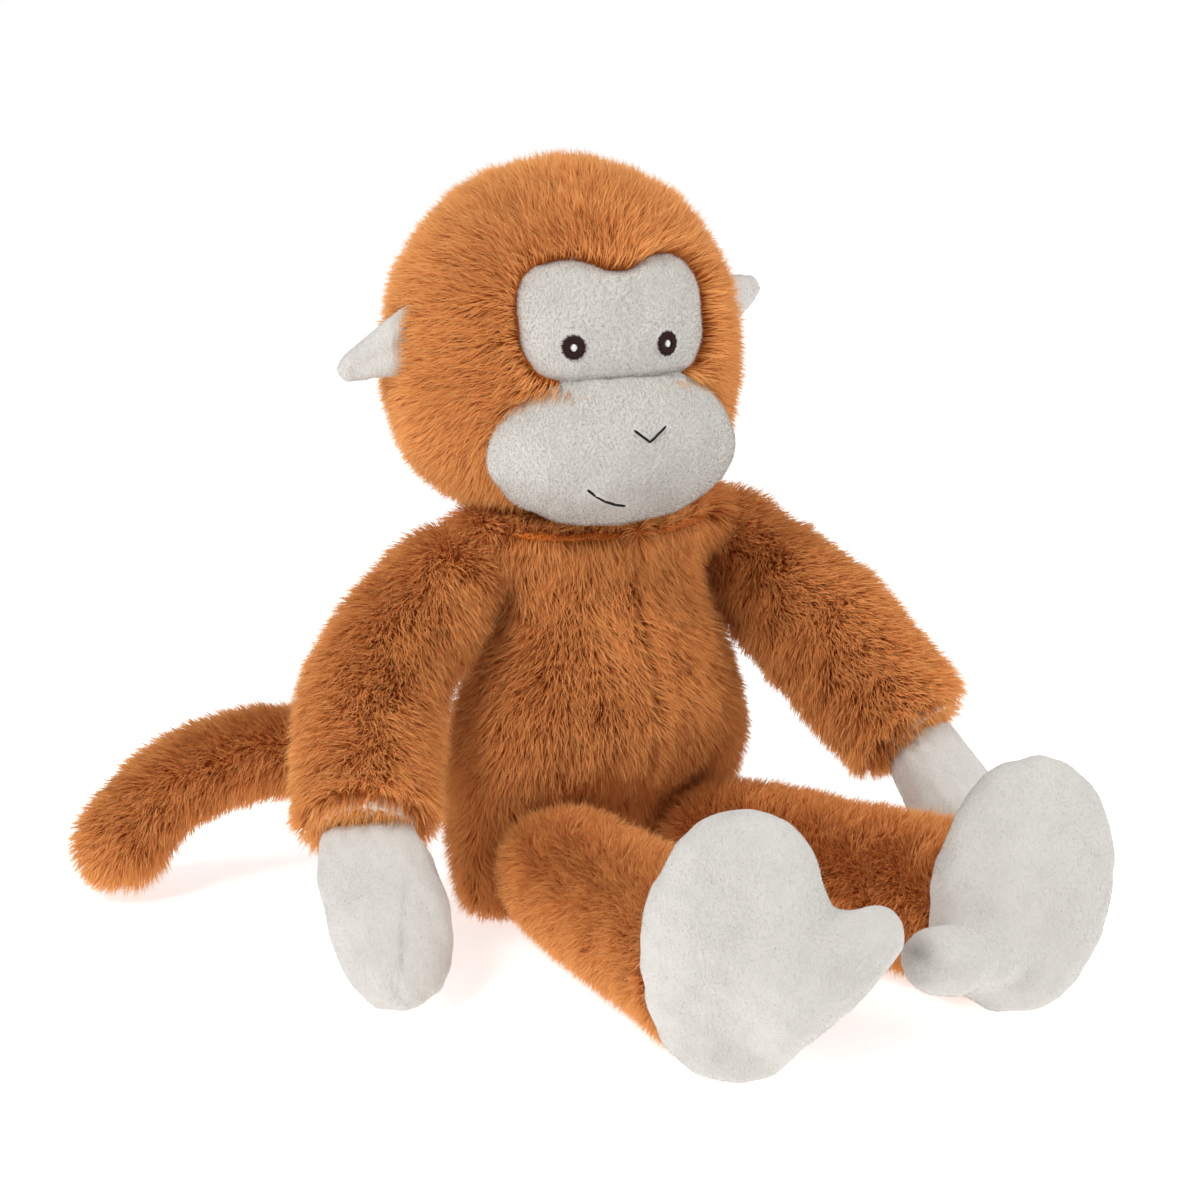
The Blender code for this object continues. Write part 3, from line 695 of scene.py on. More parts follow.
def lock_mesh(name, corners, tone):
    """One mesh of many locks, each a strip and a tip, with tone and height in its UV map."""
    count = len(corners)
    mesh = bpy.data.meshes.new(name)
    mesh.vertices.add(count * corners.shape[1])
    mesh.vertices.foreach_set("co", corners.ravel())
    pattern = np.array([i for face in LOCK_FACES for i in face], np.int32)
    first = np.arange(count, dtype=np.int32)[:, None]
    loops = (first * corners.shape[1] + pattern).ravel()
    mesh.loops.add(len(loops))
    mesh.loops.foreach_set("vertex_index", loops)
    starts = (first * len(pattern) + np.array((0, len(LOCK_FACES[0])), np.int32)).ravel()
    mesh.polygons.add(len(starts))
    mesh.polygons.foreach_set("loop_start", starts)
    mesh.polygons.foreach_set("use_smooth", np.ones(len(starts), bool))
    uv = mesh.uv_layers.new(name="OFBake")
    u = tone[:, None] + np.array([LOCK_SIDES[i] for i in pattern])[None, :] * 0.004
    v = np.broadcast_to(np.array([LOCK_HEIGHTS[i] for i in pattern]), u.shape)
    uv.data.foreach_set("uv", np.stack([u, v], axis=2).astype(np.float32).ravel())
    mesh.update(calc_edges=True)
    return mesh


def nearest_panel(roots, panels):
    """Which panel each root belongs to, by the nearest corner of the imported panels."""
    best = np.full(len(roots), np.inf)
    owner = np.zeros(len(roots), int)
    for index, panel in enumerate(panels):
        corners = points_of(NODES[panel].data)
        for start in range(0, len(roots), 4000):
            part = roots[start : start + 4000]
            gap = ((part[:, None] - corners[None]) ** 2).sum(2).min(1)
            closer = gap < best[start : start + 4000]
            best[start : start + 4000][closer] = gap[closer]
            owner[start : start + 4000][closer] = index
    return owner


def uncovered(roots, normals, comb, covers):
    """Which roots have room for their lock, with no other piece just above them."""
    fur = bpy.context.scene.plush_fur
    heading = unit(normals + comb * 0.5)
    kept = np.ones(len(roots), bool)
    for name in covers:
        mesh = bpy.data.objects[name].data
        corners = points_of(mesh)
        tree = BVHTree.FromPolygons(corners, [tuple(face.vertices) for face in mesh.polygons])
        low, high = corners.min(0) - fur.length, corners.max(0) + fur.length
        near = np.nonzero(((roots > low) & (roots < high)).all(1) & kept)[0]
        for index in near:
            start, way = Vector(roots[index]), Vector(heading[index])
            if tree.ray_cast(start, way, fur.length * FREE_SHARE)[0] is not None:
                kept[index] = False
    return kept


def fur_pieces(body, panels, backing, comb, seed, covers=(), length=1.0, lean=1.0):
    """Grows a fur piece for each panel of a part from the part's backing."""
    fur = bpy.context.scene.plush_fur
    rng = np.random.default_rng(seed + fur.seed)
    roots, normals = scatter(backing.data, fur.density, rng)
    raised = (roots[:, 2] > REST_HEIGHT) | (normals[:, 2] > FACING_DOWN)
    roots, normals = roots[raised], normals[raised]
    combed = comb(roots, normals)
    kept = uncovered(roots, normals, combed, covers)
    roots, normals, combed = roots[kept], normals[kept], combed[kept]
    long = np.full(len(roots), fur.length * length)
    corners, tone = grow(fur, roots, normals, combed, long, seed + 100, lean)
    corners[..., 2] = np.maximum(corners[..., 2], LOWEST_TIP)
    owner = nearest_panel(roots, panels)
    for index, panel in enumerate(panels):
        mine = owner == index
        name = panel.replace("_panel", "_fur")
        mesh = lock_mesh(name, corners[mine], tone[mine])
        piece = link(name, mesh, material("caramel_fur", fur_material))
        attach(piece, body)
        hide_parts(panel)


def nap_over(piece, body, seed, clear):
    """Grows the short white pile of a sewn piece, leaving out a strip along its stitches."""
    pile = bpy.context.scene.plush_white
    rng = np.random.default_rng(seed)
    roots, normals = scatter(piece.data, pile.density, rng)
    kept = np.ones(len(roots), bool)
    for name in clear:
        stitches = KDTree(len(bpy.data.objects[name].data.vertices))
        for index, vertex in enumerate(bpy.data.objects[name].data.vertices):
            stitches.insert(vertex.co, index)
        stitches.balance()
        kept &= np.array([stitches.find(root)[2] > pile.length * 0.75 for root in roots])
    roots, normals = roots[kept], normals[kept]
    long = np.full(len(roots), pile.length)
    corners, tone = grow(pile, roots, normals, tangent(-UP, normals), long, seed + 50)
    corners[..., 2] = np.maximum(corners[..., 2], LOWEST_TIP)
    name = piece.name.replace("_plush", "_nap")
    nap = link(name, lock_mesh(name, corners, tone), material("white_nap", nap_material))
    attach(nap, body)


def backing_for(part, body, shapes, voxel=0.004, smoothing=8):
    """The knitted cloth under a part's pile, closed round its stuffing."""
    fur = bpy.context.scene.plush_fur
    piece = skin_over(f"{part}_backing", shapes, voxel, smoothing, fur.inset)
    lift_above(piece, 0.8 * MM)
    give_finish(piece.data, material("fur_backing", backing_material))
    piece.data.shade_smooth()
    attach(piece, body)
    return piece


# ---------------------------------------------------------------- the parts


def head_frame():
    """The head's middle and its own sideways and forward directions."""
    side = middle_of("eye_left") - middle_of("eye_right")
    side[2] = 0
    side = unit(side)
    ahead = np.array((side[1], -side[0], 0.0))
    middle = pivot_of("neck_turn").copy()
    middle[2] = middle_of("head_left_panel", "head_right_panel")[2]
    return middle, side, ahead


def on_head(places):
    """Points of the scene for places given in the head's own directions, in millimetres."""
    middle, side, ahead = head_frame()
    return middle + (np.asarray(places, float) * MM) @ np.stack([side, ahead, UP])


def seen_from_head(points):
    """The reverse of on_head."""
    middle, side, ahead = head_frame()
    return ((points - middle) @ np.stack([side, ahead, UP]).T) / MM


FACE_MIDDLE = (0, 55, -12)


def comb_head(roots, normals):
    """Out from the face, and down at the sides."""
    middle, side, ahead = head_frame()
    away = unit(roots - on_head(FACE_MIDDLE))
    high = np.clip((roots[:, 2:3] - middle[2]) / 0.07, -1, 1)
    return tangent(away * 0.9 - ahead * 0.35 - UP * (0.45 - 0.30 * high), normals)


def comb_along(start, end, down=0.15):
    """Combs a limb from one point towards another."""
    along = unit(end - start)
    return lambda roots, normals: tangent(along - UP * down, normals)


def comb_tail(roots, normals):
    """Combs the tail from its root to its tip, along the curve it lies in."""
    outward = -roots[:, 0]
    slopes = [np.polyval(np.polyder(np.polyfit(outward, roots[:, k], 3)), outward) for k in (1, 2)]
    return tangent(np.stack([-np.ones(len(roots)), *slopes], axis=1), normals)


def comb_torso(roots, normals):
    """Down the belly and the back, parted a little at the seam in front."""
    parting = np.exp(-((roots[:, 0] / 0.007) ** 2)) * (roots[:, 1] < 0) * np.sign(roots[:, 0])
    aside = np.stack([parting, np.zeros(len(roots)), np.zeros(len(roots))], axis=1)
    return tangent(aside * 0.5 - UP, normals)


YOKE_RADIUS, YOKE_REACH, YOKE_RISE = 0.0185, 0.76, 0.0125  # the bulk between the shoulders


def grow_torso():
    """The torso, with a yoke that carries its cloth out to the arms."""
    panels = ("torso_front_left_panel", "torso_front_right_panel", "torso_back_panel")
    nodes = (*panels, "torso_stuffing", "seat_bean_bag")
    shapes = [shape_of(node) for node in nodes]
    points, faces = ball(3)
    ends = []
    for side in SIDES:
        shoulder = pivot_of(f"shoulder_{side}_swing")
        ends.append(points * YOKE_RADIUS + shoulder * (YOKE_REACH, 1.0, 1.0) + UP * YOKE_RISE)
    shapes.append(hull_of(np.concatenate(ends)))
    backing = backing_for("torso", "torso", shapes)
    fur_pieces("torso", panels, backing, comb_torso, 11)


SKULL, SKULL_FRONT = 70.0, 65.0  # millimetres from the head's middle
JAW_POWER, JAW_SHARE = 3, 1.03  # how square and how wide the jaw is


def grow_head():
    """The head, fuller in the jaw than a ball."""
    panels = ("head_left_panel", "head_right_panel")
    points, faces = ball(4)
    sizes = np.full(points.shape, SKULL)
    sizes[points[:, 1] > 0, 1] = SKULL_FRONT
    low = points[:, 2] < 0
    jaw = np.hypot(points[:, 0], points[:, 2])[low] ** JAW_POWER
    fuller = ((np.abs(points[low][:, ::2]) ** JAW_POWER).sum(1) / jaw) ** (-1 / JAW_POWER)
    sizes[low, 0] *= fuller * JAW_SHARE
    sizes[low, 2] *= fuller
    skull = (on_head(points * sizes), faces)
    shapes = [shape_of(panel) for panel in panels]
    backing = backing_for("head", "head", [*shapes, skull])
    covers = ("face_patch_plush", "muzzle_plush", "ear_left_plush", "ear_right_plush")
    fur_pieces("head", panels, backing, comb_head, 23, covers, lean=0.8)


def grow_arm(side):
    panels = tuple(f"arm_{side}_{face}_panel" for face in ("front", "back"))
    nodes = (*panels, f"arm_{side}_stuffing")
    backing = backing_for(f"arm_{side}", f"arm_{side}", [shape_of(node) for node in nodes])
    shoulder = pivot_of(f"shoulder_{side}_swing")
    hand = middle_of(f"hand_{side}_back", f"hand_{side}_palm")
    comb = comb_along(shoulder, hand)
    fur_pieces(f"arm_{side}", panels, backing, comb, 37 + len(side), [f"hand_{side}_plush"], 1.05)


def grow_leg(side):
    panels = tuple(f"leg_{side}_{face}_panel" for face in ("upper", "under"))
    nodes = (*panels, f"leg_{side}_stuffing")
    backing = backing_for(f"leg_{side}", f"leg_{side}", [shape_of(node) for node in nodes])
    hip = pivot_of(f"hip_{side}_swing")
    foot = middle_of(f"foot_{side}_top", f"foot_{side}_heel")
    comb = comb_along(hip, foot, 0.0)
    covers = [f"foot_{side}_plush"]
    fur_pieces(f"leg_{side}", panels, backing, comb, 53 + len(side), covers, 0.9, 0.7)


def grow_tail():
    panels = ("tail_upper_panel", "tail_under_panel")
    shapes = [shape_of(node) for node in (*panels, "tail_stuffing")]
    backing = backing_for("tail", "tail", shapes, 0.0035, 5)
    fur_pieces("tail", panels, backing, comb_tail, 71)


def dress_plush(piece, body, replaced, clear=()):
    """Finish, short pile and body of a piece of white plush; the imported parts it replaces are hidden."""
    nap_over(piece, body, 200 + len(bpy.data.objects), clear)
    give_finish(piece.data, material("white_plush", plush_material))
    piece.data.shade_smooth()
    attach(piece, body)
    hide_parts(*replaced)


# The tuck's places: the share of the way to the tip, then millimetres aside and out.
TUCK = ((-0.72, 23, 6), (-0.45, 20, 12), (-0.1, 12, 17), (0.3, 6, 17), (0.65, 1, 13), (0.9, -3, 6))
THUMB_SIDE = {"left": -1.0, "right": 1.0}
WRIST_CORNERS = 60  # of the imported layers, nearest the shoulder


def sew_hand(side):
    """A mitten: two layers, with a tuck that runs from the thumb's side to the tip."""
    nodes = [f"hand_{side}_{layer}" for layer in ("back", "palm")]
    shapes = [shape_of(node) for node in (*nodes, f"hand_{side}_stuffing")]
    corners = np.concatenate([points for points, _ in shapes])
    away = np.linalg.norm(corners - pivot_of(f"shoulder_{side}_swing"), axis=1)
    root = corners[np.argsort(away)][:WRIST_CORNERS]
    inside = unit(root.mean(0) - corners.mean(0)) * 0.010
    middle = root.mean(0)
    plug = [middle + (root - middle) * wide + inside * k for k, wide in ((-0.8, 0.97), (1.3, 0.6))]
    shapes.append(hull_of(np.concatenate(plug)))
    piece = skin_over(f"hand_{side}_plush", shapes, 0.004, 2)
    fill(piece, 0.0024)
    reskin(piece, 0.002, 3)
    subdivide(piece)
    cuff = middle_of(f"arm_{side}_front_panel")
    points = points_of(piece.data)
    middle = points.mean(0)
    axis = np.linalg.svd(points - middle, full_matrices=False)[2][0]
    axis = axis if axis @ (middle - cuff) > 0 else -axis
    flat = np.array((0.87, -0.5 * THUMB_SIDE[side], 0))
    wide = unit(np.cross(axis, np.cross(flat, axis)))
    thick = np.cross(axis, wide)
    thick = thick if thick[2] > 0 else -thick
    half = ((points - middle) @ axis).max()
    tuck = []
    for along, across, out in TUCK:
        aside = wide * (THUMB_SIDE[side] * across * MM)
        tuck.append(middle + axis * (half * along) + aside + thick * (out * MM))
    sew_seam(piece, tuck, 0.0022, 0.0021)
    crumple(piece, 0.00045, 0.024, 91)
    dress_plush(piece, f"arm_{side}", nodes)


# The big toe's tip and root: in from the toe's far end or the sole's middle, up, ahead, radius.
TOE_BALLS = {
    "left": ((-0.020, -0.013, 0.006, 0.0150), (0.012, -0.015, -0.014, 0.018)),
    "right": ((-0.0115, 0.006, -0.007, 0.0130), (0.012, -0.010, -0.012, 0.025)),
}


def sew_foot(side):
    """A puffy sole and instep in one skin, with the big toe growing out of the sole's edge."""
    nodes = [f"foot_{side}_{layer}" for layer in ("top", "heel", "sole", "toe")]
    shapes = [shape_of(node) for node in (*nodes[:3], f"foot_{side}_stuffing")]
    sole, toe = points_of(NODES[nodes[2]].data), points_of(NODES[nodes[3]].data)
    middle = sole.mean(0)
    ahead = np.linalg.svd(sole - middle, full_matrices=False)[2][2]
    ahead = ahead if ahead[1] < 0 else -ahead
    inward = toe.mean(0) - middle
    inward = unit(inward - ahead * (inward @ ahead) - UP * inward[2])
    up = np.cross(ahead, inward)
    up = up if up[2] > 0 else -up
    reach = ((toe - middle) @ inward).max()
    rise = toe.mean(0) @ up - middle @ up
    points, faces = ball(3)
    balls = []
    for far, (inset, raised, forward, radius) in zip((reach, 0.0), TOE_BALLS[side]):
        place = inward * (far + inset) + up * (rise + raised) + ahead * forward
        balls.append(middle + place + points * radius)
    shapes.append(hull_of(np.concatenate(balls)))
    piece = skin_over(f"foot_{side}_plush", shapes, 0.004, 3)
    fill(piece, 0.0030)
    reskin(piece, 0.0025, 7)
    lift_above(piece, 0.5 * MM)
    subdivide(piece)
    crumple(piece, 0.0006, 0.030, 97)
    dress_plush(piece, f"leg_{side}", nodes)


# The face, in millimetres from the head's middle.
FACE_AHEAD, FACE_ROUND = 61.5, 72.0
SEAM_UP = -8.5  # the seam between eye patch and muzzle
SEAM_DEPTH, SEAM_WIDTH = 1.1, 1.6
PATCH_UP, PATCH_HALF_WIDTH, PATCH_ABOVE, PATCH_BELOW = 13.0, 39.5, 25.0, 27.0
PATCH_POWER = 0.55  # how square its lobes are
NOTCH_DEPTH, NOTCH_WIDTH, NOTCH_SIDE = 6.5, 12.0, 1.5
MUZZLE_UP, MUZZLE_HALF_WIDTH, MUZZLE_ABOVE, MUZZLE_BELOW = -39.0, 52.5, 34.0, 30.0
MUZZLE_ROOT, MUZZLE_SWELL = 46.0, 33.0


def face_front(side, up):
    """How far ahead of the head's middle the white face lies."""
    return FACE_AHEAD * np.sqrt(np.maximum(0.05, 1 - (side**2 + up**2) / FACE_ROUND**2))


def dip(gap, depth, width):
    return depth * np.exp(-((gap / width) ** 2))


def sew_patch():
    """The eye patch: two round lobes with a notch between them, its edge sunk in the fur."""
    points, faces = ball(6)
    rim = np.hypot(points[:, 0], points[:, 2])
    turn = np.arctan2(points[:, 2], points[:, 0])
    wide = np.sign(np.cos(turn)) * np.abs(np.cos(turn)) ** PATCH_POWER * PATCH_HALF_WIDTH
    high = np.sign(np.sin(turn)) * np.abs(np.sin(turn)) ** PATCH_POWER
    high = high * np.where(high > 0, PATCH_ABOVE, PATCH_BELOW)
    side = 0.5 + wide * rim
    notch = dip(side - NOTCH_SIDE, NOTCH_DEPTH, NOTCH_WIDTH) * rim**3 * (high > 0)
    up = PATCH_UP + high * rim - notch
    side = side * (1 - 0.10 * np.clip((5 - up) / 20, 0, 1))
    front = face_front(side, up) + 1.2 * (1 - rim**2)
    front -= 5.0 * (1 - np.sqrt(np.maximum(0, 1 - rim**8)))
    front -= dip(up - SEAM_UP, SEAM_DEPTH, SEAM_WIDTH) + 2.5 * np.clip((SEAM_UP - 1.5 - up) / 3, 0, 1)
    back = front - 5.0 - 4.0 * np.sqrt(np.maximum(0, 1 - rim**2))
    depth = np.where(points[:, 1] > 0, front, back)
    mesh = bpy.data.meshes.new("face_patch_plush")
    mesh.from_pydata(on_head(np.stack([side, depth, up], axis=1)).tolist(), [], faces)
    piece = link("face_patch_plush", mesh)
    crumple(piece, 0.00018, 0.016, 61)
    eyes = [f"eye_{side}_thread" for side in SIDES]
    dress_plush(piece, "head", ["face_patch"], clear=eyes)


def muzzle_front(side, up):
    """The front of the muzzle as its stuffing swells it."""
    high = np.where(up > MUZZLE_UP, MUZZLE_ABOVE, MUZZLE_BELOW)
    edge = np.hypot(side / MUZZLE_HALF_WIDTH, (up - MUZZLE_UP) / high)
    return MUZZLE_ROOT + MUZZLE_SWELL * np.sqrt(np.maximum(0, 1 - edge**2.15))


def soften(first, second, width):
    """The larger of two heights, with the valley between them rounded."""
    share = np.clip(0.5 + (first - second) / (2 * width), 0, 1)
    return second * (1 - share) + first * share + width * share * (1 - share)


def muzzle_cover(side, up):
    """The muzzle's front with what the seams do to it."""
    swell = muzzle_front(side, up)
    patch = face_front(side, up) - 0.4
    front = np.where(up > -30, soften(swell, patch, 3.5), swell)
    sunk = 3.0 * np.clip((up - SEAM_UP - 1.5) / 3, 0, 1)
    front = front - dip(up - SEAM_UP, SEAM_DEPTH, SEAM_WIDTH) - sunk
    below = 1 / (1 + np.exp(-(-31.0 - up) / 2.0))
    front = front - dip(side - 1.5, 0.45, 1.0) * below
    for sign in (-1, 1):
        slant = side - sign * (25.0 - (up + 18) * 0.22)
        within = np.exp(-(((up + 17.0) / 7.0) ** 4))
        front = front - dip(slant, 0.7, 1.4) * within
    return front


def sew_muzzle():
    """The stuffed muzzle, with a seam down its middle and a dart on each cheek."""
    points, faces = ball(6)
    high = np.where(points[:, 2] > 0, MUZZLE_ABOVE, MUZZLE_BELOW)
    side = points[:, 0] * MUZZLE_HALF_WIDTH
    up = MUZZLE_UP + points[:, 2] * high
    front = muzzle_cover(side, up)
    depth = np.where(points[:, 1] > 0, front, MUZZLE_ROOT + 13.0 * points[:, 1])
    mesh = bpy.data.meshes.new("muzzle_plush")
    mesh.from_pydata(on_head(np.stack([side, depth, up], axis=1)).tolist(), [], faces)
    piece = link("muzzle_plush", mesh)
    crumple(piece, 0.00035, 0.022, 67)
    halves = ["muzzle_left", "muzzle_right"]
    dress_plush(piece, "head", halves, clear=("nose_thread", "mouth_thread"))


EAR_ROOT, EAR_MOUTH, EAR_FOLD = 64.0, 76, 66  # millimetres aside of the head's middle


def sew_ear(side):
    """A small folded ear that narrows to a blunt tip, its root inside the fur."""
    nodes = [f"ear_{side}_{layer}" for layer in ("front", "back")]
    shapes = [shape_of(node) for node in nodes]
    corners = seen_from_head(np.concatenate([points for points, _ in shapes]))
    sign = 1.0 if side == "left" else -1.0
    near = corners[np.abs(corners[:, 0]) < EAR_MOUTH]
    root = near.copy()
    height = near[:, 2].mean()
    root[:, 0] = sign * EAR_ROOT
    root[:, 2] = height + 2.0 + (near[:, 2] - height) * 1.35
    shapes.append(hull_of(on_head(np.concatenate([near, root]))))
    piece = skin_over(f"ear_{side}_plush", shapes, 0.0018, 4)
    subdivide(piece)
    points = seen_from_head(points_of(piece.data))
    tip = points[np.argmax(np.abs(points[:, 0]))]
    fold = [
        (sign * EAR_FOLD, points[:, 1].max(), height + 4),
        (sign * (abs(tip[0]) - 6), points[:, 1].mean() - 2, tip[2]),
    ]
    sew_seam(piece, [on_head(place) for place in fold], 0.0016, 0.0030)
    dress_plush(piece, f"ear_{side}", nodes)


def thread_piece(name, strands, radius, finish, replaced):
    """Lines of thread, each a round strand through its places, as one mesh that rides on the head."""
    points, faces = [], []
    sides = 6
    for strand in strands:
        strand = np.asarray(strand)
        ahead = unit(np.gradient(strand, axis=0))
        across = unit(np.cross(ahead, head_frame()[2]))
        out = np.cross(across, ahead)
        start = len(points) * sides
        for k, (place, right, high) in enumerate(zip(strand, across, out)):
            thin = 0.35 if k in (0, len(strand) - 1) else 1.0
            turns = [2 * math.pi * i / sides for i in range(sides)]
            ring = [place + (right * math.cos(t) + high * math.sin(t)) * radius * thin for t in turns]
            points.append(ring)
        for row in range(len(strand) - 1):
            for i in range(sides):
                here, there = start + row * sides, start + (row + 1) * sides
                faces.append((here + i, here + (i + 1) % sides, there + (i + 1) % sides, there + i))
        faces.append([start + i for i in range(sides)][::-1])
        faces.append([start + (len(strand) - 1) * sides + i for i in range(sides)])
    mesh = bpy.data.meshes.new(name)
    mesh.from_pydata(np.concatenate(points).tolist(), [], faces)
    piece = link(name, mesh, material(finish, thread_material))
    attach(piece, "head")
    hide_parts(replaced)


def stitch_line(name, places, front):
    """A short line of back stitches on the white plush, through places across and up the head."""
    places = np.asarray(places, float)
    steps = np.linspace(0, len(places) - 1, 8 * (len(places) - 1) + 1)
    side = np.interp(steps, range(len(places)), places[:, 0])
    up = np.interp(steps, range(len(places)), places[:, 1])
    sink = 0.35 * np.abs(np.sin(np.linspace(0, math.pi * 4, len(steps))))
    depth = front(side, up) + 0.1 + sink
    strand = on_head(np.stack([side, depth, up], axis=1))
    thread_piece(name, [strand], 0.00052, "nose_thread", name.replace("_thread", "_stitch"))


EYES = {"left": (18.0, 4.0), "right": (-22.0, 5.0)}  # millimetres across and up the head
EYE_STITCHES, EYE_RADIUS, GLINT_RADIUS = 34, 4.8, 1.5
EYE_THREAD = 0.42 * MM


def stitch_eye(side):
    """A ring of satin stitches that all run out from the white stitch in its middle."""
    across, up = EYES[side]
    ring = []
    for i in range(EYE_STITCHES):
        turn = 2 * math.pi * i / EYE_STITCHES
        reach = EYE_RADIUS + 0.25 * math.sin(i * 2.4)
        strand = []
        for share in (0.0, 0.2, 0.5, 0.8, 1.0):
            out = GLINT_RADIUS + (reach - GLINT_RADIUS) * share
            x, z = across + out * math.cos(turn), up + out * math.sin(turn) * 1.05
            rise = 0.75 * math.sin(math.pi * (0.12 + 0.76 * share))
            strand.append((x, face_front(x, z) + 1.0 + rise, z))
        ring.append(on_head(strand))
    thread_piece(f"eye_{side}_thread", ring, EYE_THREAD, "iris_thread", f"eye_{side}")
    glint = []
    for row in range(4):
        z = up + (row - 1.5) * 0.62
        half = 1.15 if row in (1, 2) else 0.7
        places = [(across + half * t, 0, z) for t in (-1, -0.5, 0, 0.5, 1)]
        glint.append(on_head([(x, face_front(x, z) + 1.75, z) for x, _, z in places]))
    name = f"eye_glint_{side}_thread"
    thread_piece(name, glint, EYE_THREAD, "glint_thread", f"eye_glint_{side}")


def stitch_face():
    for side in SIDES:
        stitch_eye(side)
    stitch_line("nose_thread", ((-4.3, -26.0), (2.0, -31.0), (10.0, -25.5)), muzzle_cover)
    smile = ((-23.0, -48.5), (-19.5, -51.3), (-15.0, -54.0), (-10.5, -55.8), (-6.0, -56.6))
    stitch_line("mouth_thread", smile, muzzle_cover)


def finish_inside():
    """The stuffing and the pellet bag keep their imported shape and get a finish."""
    for name, node in NODES.items():
        if name.endswith("_stuffing"):
            finish = material("fibre_filling", filling_material)
        elif name == "seat_bean_bag":
            finish = material("pellet_cotton", filling_material)
        else:
            continue
        give_finish(node.data, finish)


# ---------------------------------------------------------------- stage


def stage_material(name):
    """Matt white board, lit a little from within so that it stays white."""
    paint = Paint(name)
    grain = paint.noise(40.0, 2.0)
    colour = paint.mix(grain, (0.92, 0.92, 0.92), (0.95, 0.95, 0.95))
    return paint.finish(
        Base_Color=colour,
        Roughness=0.8,
        Specular_IOR_Level=0.1,
        Emission_Color=WHITE,
        Emission_Strength=bpy.context.scene.plush_stage.board,
    )


def add_softbox(name, place, target, size, power):
    light = bpy.data.lights.new(name, "AREA")
    light.shape = "DISK"
    light.size = size
    light.energy = power
    lamp = bpy.data.objects.new(name, light)
    lamp.location = place
    lamp.rotation_euler = (Vector(target) - Vector(place)).to_track_quat("-Z", "Y").to_euler()
    bpy.context.scene.collection.objects.link(lamp)


def set_stage():
    stage = bpy.context.scene.plush_stage
    scene = bpy.context.scene
    scene.view_settings.view_transform = "Standard"
    radius, count = 16.0, 64
    turns = [2 * math.pi * i / count for i in range(count)]
    mesh = bpy.data.meshes.new("floor")
    rim = [(radius * math.cos(t), radius * math.sin(t), 0.0) for t in turns]
    mesh.from_pydata(rim, [], [list(range(count))])
    floor = link("floor", mesh, material("studio_floor", stage_material))
    target = Vector(stage.target)
    back = Vector(
        (
            math.sin(stage.azimuth) * math.cos(stage.elevation),
            -math.cos(stage.azimuth) * math.cos(stage.elevation),
            math.sin(stage.elevation),
        )
    )
    lens = bpy.data.cameras.new("camera")
    lens.lens = stage.lens
    lens.clip_start = 0.05
    camera = bpy.data.objects.new("camera", lens)
    camera.location = target + back * stage.distance
    camera.rotation_euler = (-back).to_track_quat("-Z", "Y").to_euler()
    scene.collection.objects.link(camera)
    scene.camera = camera
    add_softbox("key_softbox", (-1.2, -0.5, 1.2), target, 0.7, stage.key)
    add_softbox("fill_softbox", (1.2, -0.6, 1.15), target, 0.8, stage.fill)
    world = bpy.data.worlds.new("studio")
    world.use_nodes = True
    world.node_tree.nodes["Background"].inputs[0].default_value = (*WHITE, 1.0)
    world.node_tree.nodes["Background"].inputs[1].default_value = stage.sky
    scene.world = world


# ---------------------------------------------------------------- operators


class PLUSH_OT_torso(bpy.types.Operator):
    """Backs the torso with knitted cloth and grows its fur"""

    bl_idname = "plush.torso"
    bl_label = "Torso fur"

    def execute(self, context):
        grow_torso()
        return {"FINISHED"}


class PLUSH_OT_head(bpy.types.Operator):
    """Backs the head with knitted cloth and grows its fur round the face"""

    bl_idname = "plush.head"
    bl_label = "Head fur"

    def execute(self, context):
        grow_head()
        return {"FINISHED"}


class PLUSH_OT_limbs(bpy.types.Operator):
    """Grows the fur of both arms, both legs and the tail"""

    bl_idname = "plush.limbs"
    bl_label = "Limb and tail fur"

    def execute(self, context):
        for side in SIDES:
            grow_arm(side)
            grow_leg(side)
        grow_tail()
        return {"FINISHED"}


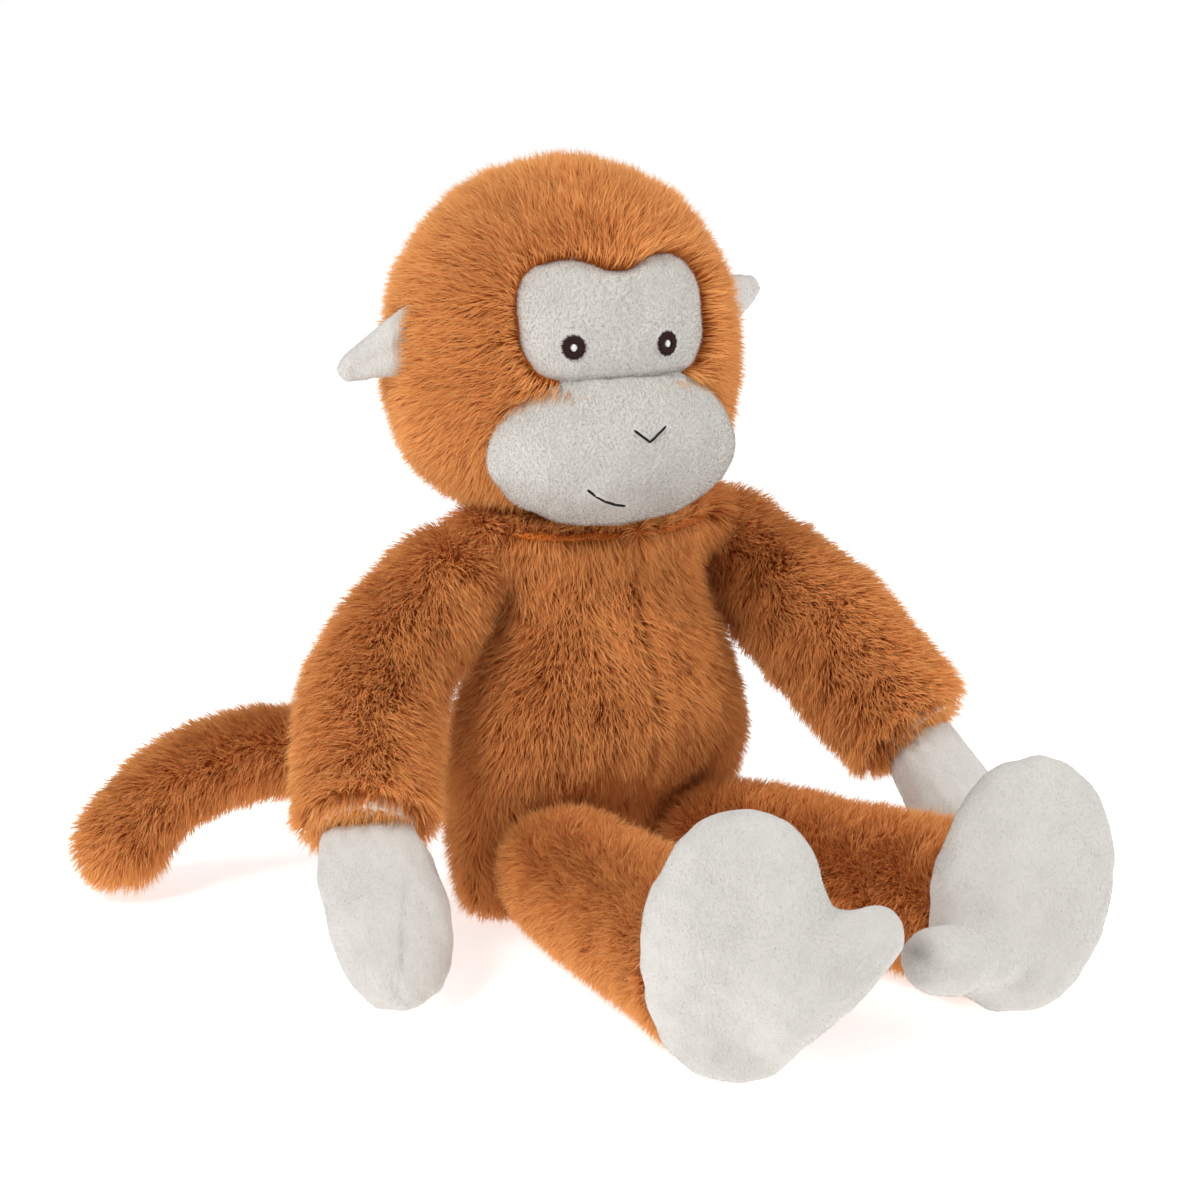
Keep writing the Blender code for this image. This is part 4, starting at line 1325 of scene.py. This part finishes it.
class PLUSH_OT_white(bpy.types.Operator):
    """Sews the hands, feet, ears, eye patch and muzzle of short white plush"""

    bl_idname = "plush.white"
    bl_label = "White plush"

    def execute(self, context):
        for side in SIDES:
            sew_hand(side)
            sew_foot(side)
            sew_ear(side)
        sew_patch()
        sew_muzzle()
        return {"FINISHED"}


class PLUSH_OT_stitches(bpy.types.Operator):
    """Embroiders the eyes, the nose and the mouth"""

    bl_idname = "plush.stitches"
    bl_label = "Embroidery"

    def execute(self, context):
        stitch_face()
        return {"FINISHED"}


class PLUSH_OT_inside(bpy.types.Operator):
    """Gives the stuffing and the pellet bag their finish"""

    bl_idname = "plush.inside"
    bl_label = "Stuffing"

    def execute(self, context):
        finish_inside()
        return {"FINISHED"}


class PLUSH_OT_stage(bpy.types.Operator):
    """Sets the floor, the softboxes, the surround and the camera"""

    bl_idname = "plush.stage"
    bl_label = "Stage"

    def execute(self, context):
        set_stage()
        return {"FINISHED"}


STEPS = (
    PLUSH_OT_stage,
    PLUSH_OT_stitches,
    PLUSH_OT_white,
    PLUSH_OT_inside,
    PLUSH_OT_torso,
    PLUSH_OT_head,
    PLUSH_OT_limbs,
)


class PLUSH_PT_panel(bpy.types.Panel):
    """Lists the steps that dress the toy"""

    bl_idname = "PLUSH_PT_panel"
    bl_label = "Plush Monkey"
    bl_space_type = "VIEW_3D"
    bl_region_type = "UI"
    bl_category = "Plush"

    def draw(self, context):
        for step in STEPS:
            self.layout.operator(step.bl_idname)


SETTINGS = (("plush_fur", FurSettings), ("plush_white", PlushSettings), ("plush_stage", StageSettings))


def register():
    for name, group in SETTINGS:
        bpy.utils.register_class(group)
        setattr(bpy.types.Scene, name, PointerProperty(type=group))
    for step in (*STEPS, PLUSH_PT_panel):
        bpy.utils.register_class(step)


def unregister():
    for step in reversed((*STEPS, PLUSH_PT_panel)):
        bpy.utils.unregister_class(step)
    for name, group in reversed(SETTINGS):
        delattr(bpy.types.Scene, name)
        bpy.utils.unregister_class(group)


def main():
    register()
    for step in STEPS:
        family, operation = step.bl_idname.split(".")
        getattr(getattr(bpy.ops, family), operation)()


if __name__ == "__main__":
    main()
